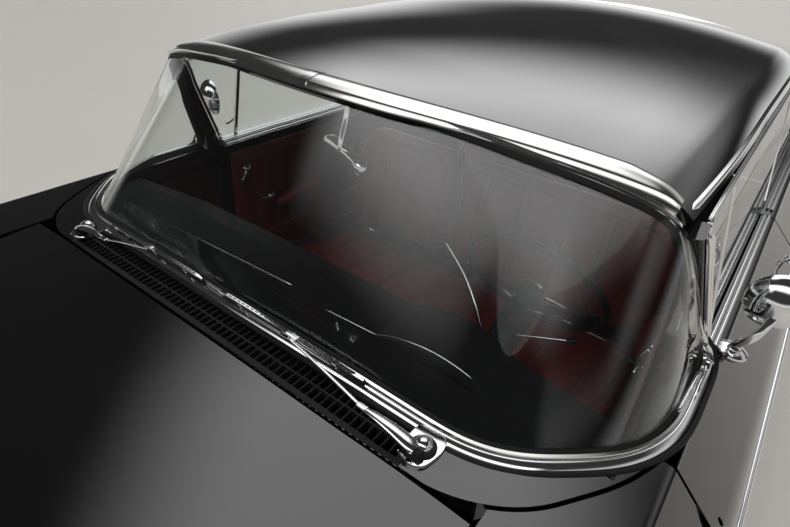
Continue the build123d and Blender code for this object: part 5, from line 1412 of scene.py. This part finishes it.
class HARDTOP_OT_doors(bpy.types.Operator):
    """Door linings, armrests, cranks, garnish strips and window frames"""

    bl_idname = "hardtop.doors"
    bl_label = "Door fittings"

    def execute(self, context):
        front, rear = -0.432, 0.360
        lining = [slab((0.7335, front, 0.372), (0.7446, rear, 0.950), 0.004)]
        z = np.linspace(0.60, 0.925, 60)
        y = np.linspace(front + 0.015, rear - 0.015, 160)
        wave = np.abs(np.sin((y - y[0]) / 0.040 * math.pi / 2)) ** 0.5
        fade = np.clip(np.minimum(z - z[0], z[-1] - z) / 0.014, 0, 1) ** 0.5
        face = 0.7335 - 0.0065 * wave[None] * fade[:, None]
        pad = np.stack([face, np.broadcast_to(y, face.shape), np.broadcast_to(z[:, None], face.shape)], -1)
        back = pad * (0, 1, 1) + (0.7345, 0, 0)
        lining.append(sheet(pad, back))
        both_sides("door_lining", lining, "vinyl_dark", "door_{}")
        arm = curve([(0.724, -0.250, 0.700), (0.704, -0.205, 0.722), (0.702, -0.060, 0.736),
                     (0.722, 0.010, 0.735)], 30)
        girth = np.sin(np.linspace(0.10, 0.92, 30) * math.pi) ** 0.35
        rest = [carried(arm, pill(0.056, 0.044, 3.0, 24), (0, 0, 1), girth)]
        both_sides("armrest", rest, "vinyl", "door_{}")
        kick = [slab((0.7295, front + 0.004, 0.378), (0.7337, rear - 0.004, 0.470), 0.002)]
        both_sides("door_kick", kick, "carpet", "door_{}")

        bright = []
        for z_at, proud in ((0.590, 0.0), (0.476, 0.001)):
            line = [(0.7325 - proud, a, z_at) for a in np.linspace(front + 0.01, rear - 0.01, 40)]
            bright.append(carried(line, pill(0.006, 0.012), (0, 0, 1)))
        for z_at, x_at, wide in ((0.982, 0.786, 0.013), (0.975, 0.765, 0.010)):
            line = [(x_at, a, z_at) for a in np.linspace(-0.425, 0.395, 60)]
            bright.append(carried(line, half_round(wide, 0.006), (0, 0, 1)))
        crank = [(0.726, -0.375, 0.878), (0.715, -0.395, 0.866), (0.706, -0.423, 0.847)]
        crank = curve(crank, 12)
        bright.append(tube(crank, 0.0055, 10))
        bright.append(spin([(0, 0.001), (0, 0.021), (0.006, 0.020), (0.014, 0.010), (0.016, 0.001)],
                           (0.732, -0.375, 0.878), (-1, 0, 0), 28))
        handle = curve([(0.726, -0.274, 0.736), (0.712, -0.290, 0.744), (0.708, -0.335, 0.752)], 12)
        bright.append(tube(handle, 0.0055, 10))
        bright.append(spin([(0, 0.001), (0, 0.019), (0.006, 0.018), (0.013, 0.009), (0.015, 0.001)],
                           (0.732, -0.274, 0.736), (-1, 0, 0), 28))
        both_sides("door_brightwork", bright, "chrome", "door_{}")
        knob = [spin([(-0.004, 0.001), (-0.002, 0.010), (0.008, 0.011), (0.018, 0.009), (0.021, 0.001)],
                     crank[-1] + (0.004, 0, 0), (-1, 0, 0), 22)]
        both_sides("crank_knob", knob, "plastic", "door_{}")

        # Frame of the side glass, and the vent window's bar with its latch
        def on_glass(y_at, z_at):
            """A place in the middle of the glass."""
            return (float(side_glass_x(z_at)) - GLASS / 2, y_at, z_at)

        lean = (PILLAR_TOP[1] - PILLAR_FOOT[1]) / (PILLAR_TOP[2] - PILLAR_FOOT[2])
        foot_y = PILLAR_FOOT[1] + PILLAR_HALF_Y + 0.012
        frame_line = [on_glass(foot_y + lean * (z - PILLAR_FOOT[2]), z) for z in (0.985, 1.08, 1.18, 1.298)]
        frame_line += [on_glass(y_at, 1.302) for y_at in (-0.45, -0.15, 0.15, 0.45, 0.672)]
        frame_line += [on_glass(y_at, z_at)
                       for y_at, z_at in ((0.672, 1.296), (0.600, 1.200), (0.445, 0.998))]
        path = soften(resample(frame_line, 240), 2)
        frames = [carried(path, pill(0.0105, 0.0105, 4.0, 16), (1, 0, 0))]
        bar = resample([on_glass(-0.352, 0.985), on_glass(-0.352, 1.300)], 12)
        frames.append(carried(bar, pill(0.013, 0.013, 4.0, 16), (1, 0, 0)))
        frames.append(tube([(0.786, -0.372, 1.052), (0.776, -0.384, 1.050), (0.774, -0.408, 1.046)], 0.005,
                           10))
        both_sides("glass_frame", frames, "chrome", "door_{}")
        return {"FINISHED"}


class HARDTOP_OT_side_trim(bpy.types.Operator):
    """Belt strips, side spear, rocker strips, pillar and drip mouldings, and outer door handles"""

    bl_idname = "hardtop.side_trim"
    bl_label = "Side brightwork"

    def execute(self, context):
        moulding = half_round(0.024, 0.008)
        thin = half_round(0.009, 0.006)
        # Columns: label, node, body, spear from y, to y, belt from y, to y
        for label, name, body, low, high, belt_low, belt_high in (
            ("fender", "fender_{}", "body", -2.34, -0.812, None, None),
            ("door", "door_{}", "door_{}", -0.782, 0.405, -0.415, 0.400),
            ("quarter", "quarter_{}", "body", 0.450, 2.44, 0.448, 1.480),
        ):
            skin = Skin(name.format("left"))
            made = []
            y = np.linspace(low, high, 90)
            made.append(laid(*skin.from_side(y, SPEAR_Z), moulding, taper=0.02))
            if label != "fender":
                y = np.linspace(belt_low, belt_high, 90)
                made += [laid(*skin.from_above(x_at, y), thin) for x_at in (0.824, 0.836)]
            both_sides(f"spear_{label}", made, "chrome", body)
        y = np.linspace(-1.27, 0.80, 80)
        skin = Skin("floor_pan", "door_left", "fender_left", "quarter_left")
        rocker = [laid(*skin.from_side(y, ROCKER_STRIP_Z), half_round(0.030, 0.007), taper=0.02)]
        both_sides("rocker_strip", rocker, "stainless", "body")

        y = np.linspace(0.175, 0.335, 24)
        places, normals = Skin("door_left").from_side(y, HANDLE_Z)
        grip = places + normals * (0.030 * np.sin(np.linspace(0, 1, 24) * math.pi)[:, None] ** 0.5)
        girth = np.interp(y, [y[0], y[3], y[-4], y[-1]], [0.7, 1, 1, 0.7])
        handle = [carried(grip, pill(0.019, 0.011), (0, 0, 1), girth)]
        foot = [(-0.002, 0.001), (-0.002, 0.019), (0.003, 0.018), (0.008, 0.010), (0.010, 0.001)]
        handle += [spin(foot, places[end], normals[end], 28) for end in (1, -2)]
        handle.append(spin([(0.012, 0.001), (0.012, 0.011), (0.020, 0.011), (0.021, 0.001)],
                           places[-3] + normals[-3] * 0.012, normals[-3], 24))
        both_sides("door_handle", handle, "chrome", "door_{}")

        y = np.linspace(-0.600, 1.195, 120)
        rail = roof_points(y * 0 + 1.84, y)
        outward = np.broadcast_to((0.85, 0.0, 0.5), rail.shape)
        drip = [laid(rail, outward, half_round(0.012, 0.006), taper=0.01)]
        foot, top = np.array(PILLAR_FOOT), np.array(PILLAR_TOP)
        t = np.linspace(0.02, 0.92, 30)[:, None]
        for ahead, proud in ((-0.013, 0.016), (0.009, 0.016)):
            line = foot + (top - foot) * t + (proud, ahead, 0)
            outward = np.broadcast_to((1.0, 0.05, 0.2), line.shape)
            drip.append(laid(line, outward, half_round(0.009, 0.007), taper=0.02))
        sweep = curve(foot + np.array([(0.014, -0.012, 0.030), (0.020, -0.030, 0.018), (0.016, -0.110, 0.022),
                                       (0.010, -0.240, 0.024)]), 40)
        outward = np.broadcast_to((0.35, 0.0, 1.0), sweep.shape)
        drip.append(laid(sweep, outward, half_round(0.010, 0.006), taper=0.06))
        both_sides("drip_rail", drip, "chrome", "body")
        return {"FINISHED"}


class HARDTOP_OT_dash(bpy.types.Operator):
    """Gauges, knobs and strips of the dash, with the pedals, the floor covering and sun visors"""

    bl_idname = "hardtop.dash"
    bl_label = "Dash and floor"

    def execute(self, context):
        skin = Skin("dash")
        lines = []
        # Thin strips along the dash top. Columns: from x, to x, y in the middle, y at the end
        for low, high, mid_y, end_y in ((0.04, 0.465, -0.885, -0.885), (0.116, 0.486, -0.860, -0.840),
                                        (-0.62, 0.0, -0.880, -0.845)):
            x = np.linspace(low, high, 50)
            y = np.interp(x, [low, high], [mid_y, end_y])
            lines.append(laid(*skin.from_above(x, y, 1.2), half_round(0.0045, 0.0022, 8), taper=0.03))
        x = np.linspace(-0.735, 0.735, 150)
        for z_at, wide in ((0.795, 0.010), (0.700, 0.006)):
            lines.append(laid(*skin.from_cabin(x, z_at, -0.3), half_round(wide, 0.004, 8), taper=0.01))
        add("dash_strips", lines, "stainless", "body")
        bezels, dials, needles, knobs = [], [], [], []
        # Round fittings on the face. Columns: x, z, radius, kind
        for x_at, z_at, radius, kind in (
            (0.300, 0.872, 0.062, "gauge"), (0.470, 0.872, 0.062, "gauge"), (0.385, 0.905, 0.024, "gauge"),
            (-0.020, 0.745, 0.012, "knob"), (0.130, 0.745, 0.012, "knob"), (0.190, 0.745, 0.010, "knob"),
            (0.560, 0.745, 0.011, "knob"), (0.610, 0.745, 0.011, "knob"), (-0.230, 0.875, 0.040, "gauge"),
        ):
            centre = skin.from_cabin(x_at, z_at)[0][0]
            if kind == "gauge":
                rim = [(-0.004, radius - 0.004), (0.006, radius - 0.003), (0.010, radius),
                       (0.008, radius + 0.005), (0.001, radius + 0.007), (-0.004, radius + 0.005)]
                bezels.append(spin(rim, centre, (0, 1, 0), 48, wrap=True))
                dials.append(spin([(0.0015, radius - 0.002), (0.0030, radius - 0.003), (0.0032, 0.001)],
                                  centre, (0, 1, 0), 40))
                for angle in np.radians(np.arange(-40, 221, 26)):
                    way = np.array((math.cos(angle), 0, math.sin(angle)))
                    at = centre + way * radius * 0.80 + (0, 0.0036, 0)
                    mark = [at + way * radius * k for k in (-0.07, 0, 0.07)]
                    needles.append(carried(mark, pill(0.0016, 0.0008, count=6), (0, 1, 0)))
                way = np.array((math.cos(2.2), 0, math.sin(2.2)))
                pointer = [centre + way * radius * k + (0, 0.005, 0) for k in (0, 0.35, 0.66)]
                needles.append(carried(pointer, pill(0.002, 0.001, count=6), (0, 1, 0)))
            else:
                knob = [(-0.002, 0.001), (-0.001, radius + 0.003), (0.003, radius + 0.003),
                        (0.005, radius * 0.6),
                        (0.012, radius * 0.6), (0.014, radius), (0.026, radius * 0.94), (0.029, radius * 0.5),
                        (0.0295, 0.001)]
                knobs.append(spin(knob, centre, (0, 1, 0), 24))
        for low, high in (((0.02, 0.752), (0.100, 0.788)), ((-0.560, 0.815), (-0.300, 0.920))):
            y_at = skin.from_cabin((low[0] + high[0]) / 2, (low[1] + high[1]) / 2)[0][0][1]
            bezels.append(slab((low[0], y_at - 0.002, low[1]), (high[0], y_at + 0.005, high[1]), 0.002))
        add("dash_bezels", bezels, "chrome", "body")
        add("gauge_faces", dials, "dial", "body", sharp=30)
        add("gauge_marks", needles, "white", "body")
        add("dash_knobs", knobs, "chrome", "body")

        x = np.linspace(-0.728, 0.728, 150)
        y = np.linspace(-0.690, 0.425, 60)
        arch = np.sqrt(np.clip(TUNNEL_R**2 - x**2, 0, None)) + TUNNEL_Z
        height = np.maximum(CARPET_Z, np.where(abs(x) < TUNNEL_R, arch, 0)) + 0.003
        height = soften(height[:, None], 2)[:, 0]
        top = np.stack(np.broadcast_arrays(x[None], y[:, None], height[None]), -1)
        add("carpet", [sheet(top, top - (0, 0, 0.006))], "carpet", "body")

        visors = []
        for low, high in ((0.085, 0.520), (-0.520, -0.085)):
            t = np.linspace(low, high, 40)
            line = np.stack([t, -0.560 + 0.18 * t**2, 1.352 - 0.14 * t**2], 1)
            girth = np.clip(np.minimum(t - low, high - t) / 0.030, 0.1, 1) ** 0.4
            visors.append(carried(line, pill(0.115, 0.014, 3.2, 24), (0, 0.28, 1), girth))
        add("sun_visors", visors, "vinyl", "body", sharp=50)
        pedals = []
        # Columns: x, z, half width, half height
        for x_at, z_at, half_x, half_z in ((0.440, 0.430, 0.038, 0.026), (0.270, 0.420, 0.024, 0.075)):
            pedals.append(slab((x_at - half_x, -0.728, z_at - half_z), (x_at + half_x, -0.716, z_at + half_z),
                               0.004))
            arm = [(x_at, -0.730, z_at), (x_at, -0.780, z_at + 0.05), (x_at, -0.800, z_at + 0.20)]
            pedals.append(tube(curve(arm, 12), 0.006, 8))
        add("pedals", pedals, "rubber", "body")
        return {"FINISHED"}


class HARDTOP_OT_lamps(bpy.types.Operator):
    """Headlamps and tail lamps with lens, reflector and bezel, and blank plates on the bumpers"""

    bl_idname = "hardtop.lamps"
    bl_label = "Lamps and plates"

    def execute(self, context):
        sides = 96
        turn = circle(sides)
        around = np.stack([np.cos(turn), turn * 0, np.sin(turn)], 1)
        # Columns: label, node replaced, places (x), z, y, facing, radius, bow, lens finish, slot
        for label, cad, places, z_at, y_at, facing, radius, bow, finish, slot in (
            ("headlamp", "headlamps", HEAD_LAMP_X, HEAD_LAMP_Z, HEAD_LAMP_Y, -1, HEAD_LAMP_R, 0.016, "lens",
             "lamp_glass"),
            ("taillamp", "taillamps", TAIL_LAMP_X, TAIL_LAMP_Z, TAIL_LAMP_Y, 1, TAIL_LAMP_R, 0.024,
             "red_lens", "lamp_red"),
        ):
            lenses, bowls, bezels = [], [], []
            for x_at in places:
                centre = np.array((x_at, y_at, z_at))
                r = np.linspace(0.002, radius * 0.94, 26)
                front = bow * (1 - (r / radius) ** 2)
                flutes = 0.0008 * np.sin(turn[None] * 24) * np.clip(r[:, None] / radius * 1.6 - 0.4, 0, 1)
                rings = 0.0009 * np.sin(r[:, None] / radius * 40)
                along = front[:, None] + (flutes if facing < 0 else rings)
                face = centre + along[..., None] * (0, facing, 0) + r[:, None, None] * around[None]
                back_r = np.array([radius * 0.94, radius * 0.90, radius * 0.5, 0.002])
                inward = np.array([-0.003, -0.004, bow * 0.55, bow * 0.8])
                back = centre + inward[:, None, None] * (0, facing, 0) + back_r[:, None, None] * around[None]
                lenses.append(solid(np.concatenate([face, back])))
                bowl = [(-0.034, 0.006), (-0.031, 0.020), (-0.022, 0.045), (-0.008, radius * 0.92),
                        (-0.004, radius * 0.965), (-0.030, radius * 0.965), (-0.037, 0.006)]
                bowls.append(spin(bowl, centre, (0, facing, 0), 64, wrap=True))
                bezel = [(-0.006, radius * 0.95), (0.003, radius * 0.94), (0.006, radius * 0.97),
                         (0.006, radius * 1.02),
                         (0.003, radius * 1.08), (-0.002, radius * 1.11), (-0.006, radius * 1.11)]
                bezels.append(spin(bezel, centre, (0, facing, 0), 96, wrap=True))
            for kind, shells, material, piece_slot, replaced in (
                ("lens", lenses, finish, slot, (cad,)), ("bowl", bowls, "chrome", "bright_metal", ()),
                ("bezel", bezels, "chrome", "bright_metal", ()),
            ):
                add(f"{label}_{kind}", shells + mirrored(shells), material, "body", replaced)
        # Blank plates. Columns: label, bumper, end that faces out, height of the plate's middle
        for label, cad, facing, z_at in (("front", "front_bumper", -1, 0.452),
                                         ("rear", "rear_bumper", 1, 0.455)):
            low, high = (np.array(corner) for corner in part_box(cad))
            y_at = low[1] if facing < 0 else high[1]
            near, far = sorted((y_at - facing * 0.004, y_at + facing * 0.0035))
            plate = slab((-PLATE_HALF_X, near, z_at - PLATE_HALF_Z), (PLATE_HALF_X, far, z_at + PLATE_HALF_Z),
                         0.0025)
            add(f"plate_{label}", [plate], "white", "body", sharp=30)
            bolt = [(0, 0.001), (0, 0.007), (0.003, 0.0065), (0.0045, 0.001)]
            bolts = [spin(bolt, (x_at, y_at + facing * 0.0033, z_at + 0.050), (0, facing, 0), 16)
                     for x_at in (-0.09, 0.09)]
            add(f"plate_bolts_{label}", bolts, "chrome", "body")
        return {"FINISHED"}


class HARDTOP_OT_wheels(bpy.types.Operator):
    """Treaded tyres with white walls, fluted covers and trim rings"""

    bl_idname = "hardtop.wheels"
    bl_label = "Wheels"

    def execute(self, context):
        wall = np.array([(0.0817, 0.186), (0.0832, 0.203), (0.0925, 0.226), (0.0990, 0.256), (0.0985, 0.288),
                         (0.0930, 0.316), (0.0855, 0.335), (0.0770, 0.3435)])
        wall = curve(wall, 26)
        tread_x = np.linspace(0.074, -0.074, 61)
        groove = np.zeros(61)
        for middle in (-0.050, -0.018, 0.018, 0.050):
            groove = np.maximum(groove, np.clip(1.6 - abs(tread_x - middle) / 0.0026, 0, 1))
        tread_r = TYRE_R - 0.0070 * (tread_x / 0.074) ** 2 - 0.0075 * groove
        line = np.concatenate([wall, np.c_[tread_x, tread_r], wall[::-1] * (-1, 1)])
        turn = circle(288)
        around = np.stack([turn * 0, np.cos(turn), np.sin(turn)], 1)
        blocks = (np.sin(turn * 72) > 0.55).astype(float)
        shoulder = np.clip((abs(line[:, 0]) - 0.054) / 0.004, 0, 1)
        shoulder *= np.clip((line[:, 1] - 0.331) / 0.006, 0, 1)
        radius = line[:, 1:2] - 0.0055 * shoulder[:, None] * blocks[None]

        r = np.linspace(0.214, 0.272, 14)
        face = np.interp(r, wall[:, 1], wall[:, 0])
        proud = 0.0016 * np.sin(np.linspace(0, 1, 14) * math.pi) ** 0.4
        band = np.array([*zip(face + proud, r), (face[-1] - 0.003, r[-1]), (face[0] - 0.003, r[0])])
        # Wheel cover: a dome with a boss, and flutes in a ring
        r = np.linspace(0.002, 0.154, 44)[:, None]
        dome = 0.097 - 0.006 * (r / 0.090) ** 2 - 0.0215 * (np.clip(r - 0.090, 0, None) / 0.064) ** 1.5
        fluted = np.exp(-((r - 0.112) / 0.020) ** 4)
        boss = 0.005 * np.exp(-(r / 0.036) ** 6)
        front = dome + 0.0020 + 0.0028 * np.cos(turn[None] * 36) * fluted - 0.0028 * fluted + boss
        front = np.minimum(front, 0.0995)
        back = np.arange(43, 0, -11)
        trim = np.array([(0.060, 0.155), (0.066, 0.160), (0.074, 0.172), (0.083, 0.184), (0.0905, 0.193),
                         (0.0930, 0.198), (0.0915, 0.2015), (0.0880, 0.200), (0.0885, 0.194), (0.070, 0.174),
                         (0.058, 0.160)])
        for label, side, axle_y in (("front_left", 1, FRONT_AXLE_Y), ("front_right", -1, FRONT_AXLE_Y),
                                    ("rear_left", 1, REAR_AXLE_Y), ("rear_right", -1, REAR_AXLE_Y)):
            centre = np.array((side * WHEEL_X, axle_y, TYRE_R))

            def turned(along, radii, centre=centre, side=side):
                """Places round the axle at distances along it and radii."""
                return centre + (side * along)[..., None] * (1, 0, 0) + radii[..., None] * around[None]

            tyre = shell(turned(line[:, :1], radius), wrap_rows=True, wrap_columns=True)
            white, ring_trim = (spin(profile * (side, 1), centre, (1, 0, 0), 144, wrap=True)
                                for profile in (band, trim))
            cover = solid(np.concatenate([turned(front, r), turned(dome[back] - 0.003, r[back])]))
            body = f"wheel_{label}"
            add(f"tyre_{label}_tread", [tyre], "tyre", body, (f"tyre_{label}",), sharp=35)
            add(f"white_wall_{label}", [white], "white", body)
            add(f"wheel_cover_{label}", [cover], "chrome", body, sharp=35)
            add(f"trim_ring_{label}", [ring_trim], "stainless", body)
        return {"FINISHED"}


class HARDTOP_OT_underside(bpy.types.Operator):
    """Exhaust pipe with its silencer, and the fittings on the engine"""

    bl_idname = "hardtop.underside"
    bl_label = "Exhaust and engine fittings"

    def execute(self, context):
        low, high = (np.array(corner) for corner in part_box("engine"))
        pipe = curve([(-0.255, -1.180, 0.290), (-0.262, -0.950, 0.215), (-0.270, -0.500, 0.200),
                      (-0.290, 0.500, 0.200), (-0.300, 0.900, 0.215), (-0.420, 1.600, 0.240),
                      (-0.460, 2.100, 0.250), (-0.460, 2.540, 0.250)], 160)
        metal = [tube(pipe, 0.024, 20)]
        can = np.stack([np.full(30, -0.278), np.linspace(-0.300, 0.330, 30), np.full(30, 0.203)], 1)
        girth = np.interp(np.linspace(0, 1, 30), [0, 0.06, 0.94, 1], [0.3, 1, 1, 0.3])
        metal.append(carried(can, pill(0.190, 0.095, 2.4, 32), (0, 0, 1), girth))
        add("exhaust", metal, "iron", "body")
        top, front_y = high[2], low[1]
        can_line = [(-0.012, 0.001), (-0.012, 0.060), (0.004, 0.066), (0.006, 0.150), (0.010, 0.158),
                    (0.042, 0.158),
                    (0.046, 0.150), (0.050, 0.060), (0.052, 0.012), (0.060, 0.010), (0.061, 0.001)]
        cleaner = spin(can_line, (0, front_y + 0.350, top), (0, 0, 1), 64)
        add("air_cleaner", [cleaner], "plastic", "body", sharp=35)
        radiator_high = np.array(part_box("radiator")[1])
        covers, blades = [], []
        for side in (-1, 1):
            covers.append(slab((side * 0.205 - 0.055, front_y + 0.060, top - 0.002),
                               (side * 0.205 + 0.055, front_y + 0.700, top + 0.038), 0.014, 5))
            for step in range(7):
                y_at = front_y + 0.110 + step * 0.090
                covers.append(slab((side * 0.205 - 0.036, y_at, top + 0.036),
                                   (side * 0.205 + 0.036, y_at + 0.012, top + 0.042), 0.003, 2))
        add("valve_covers", covers, "stainless", "body", sharp=35)
        fan = np.array((0.0, front_y - 0.060, FAN_Z))
        for angle in np.radians(np.arange(5) * 72):
            way = np.array((math.cos(angle), 0, math.sin(angle)))
            twist = np.cross(way, (0, 1, 0)) * 0.5 + np.array((0, 1.0, 0))
            blade = [fan + way * r for r in (0.030, 0.080, 0.130, 0.180)]
            blades.append(carried(blade, pill(0.074, 0.003), twist, [0.6, 0.9, 1.0, 0.95]))
        blades.append(spin([(-0.014, 0.001), (-0.014, 0.040), (0.012, 0.040), (0.014, 0.022), (0.062, 0.020),
                            (0.062, 0.001)], fan, (0, 1, 0), 32))
        add("fan", blades, "iron", "body")
        hose = curve([(0.110, low[1] + 0.030, top - 0.030), (0.120, low[1] - 0.060, top - 0.020),
                      (0.150, radiator_high[1] + 0.080, radiator_high[2] - 0.070),
                      (0.160, radiator_high[1] - 0.004, radiator_high[2] - 0.075)], 40)
        add("radiator_hose", [tube(hose, 0.021, 20)], "rubber", "body")
        return {"FINISHED"}


PIECES = (
    HARDTOP_OT_stage,
    HARDTOP_OT_panels,
    HARDTOP_OT_roof,
    HARDTOP_OT_windshield_trim,
    HARDTOP_OT_wipers,
    HARDTOP_OT_seats,
    HARDTOP_OT_mirrors,
    HARDTOP_OT_steering,
    HARDTOP_OT_doors,
    HARDTOP_OT_side_trim,
    HARDTOP_OT_dash,
    HARDTOP_OT_lamps,
    HARDTOP_OT_wheels,
    HARDTOP_OT_underside,
)


class HARDTOP_PT_sidebar(bpy.types.Panel):
    """Lists the car's groups of pieces"""

    bl_idname = "HARDTOP_PT_sidebar"
    bl_label = "Hardtop"
    bl_space_type = "VIEW_3D"
    bl_region_type = "UI"
    bl_category = "Hardtop"

    def draw(self, context):
        column = self.layout.column()
        for settings in ("hardtop_paint", "hardtop_cabin", "hardtop_stage"):
            group = getattr(context.scene, settings)
            for name in group.__annotations__:
                column.prop(group, name)
        for operator in PIECES:
            column.operator(operator.bl_idname)


SETTINGS = {"hardtop_paint": PaintSettings, "hardtop_cabin": CabinSettings, "hardtop_stage": StageSettings}
CLASSES = (*SETTINGS.values(), *PIECES, HARDTOP_PT_sidebar)


def register():
    for item in CLASSES:
        bpy.utils.register_class(item)
    for name, settings in SETTINGS.items():
        setattr(bpy.types.Scene, name, bpy.props.PointerProperty(type=settings))


def unregister():
    for name in SETTINGS:
        delattr(bpy.types.Scene, name)
    for item in reversed(CLASSES):
        bpy.utils.unregister_class(item)


def main():
    register()
    for operator in PIECES:
        group, name = operator.bl_idname.split(".")
        getattr(getattr(bpy.ops, group), name)()


if __name__ == "__main__":
    main()
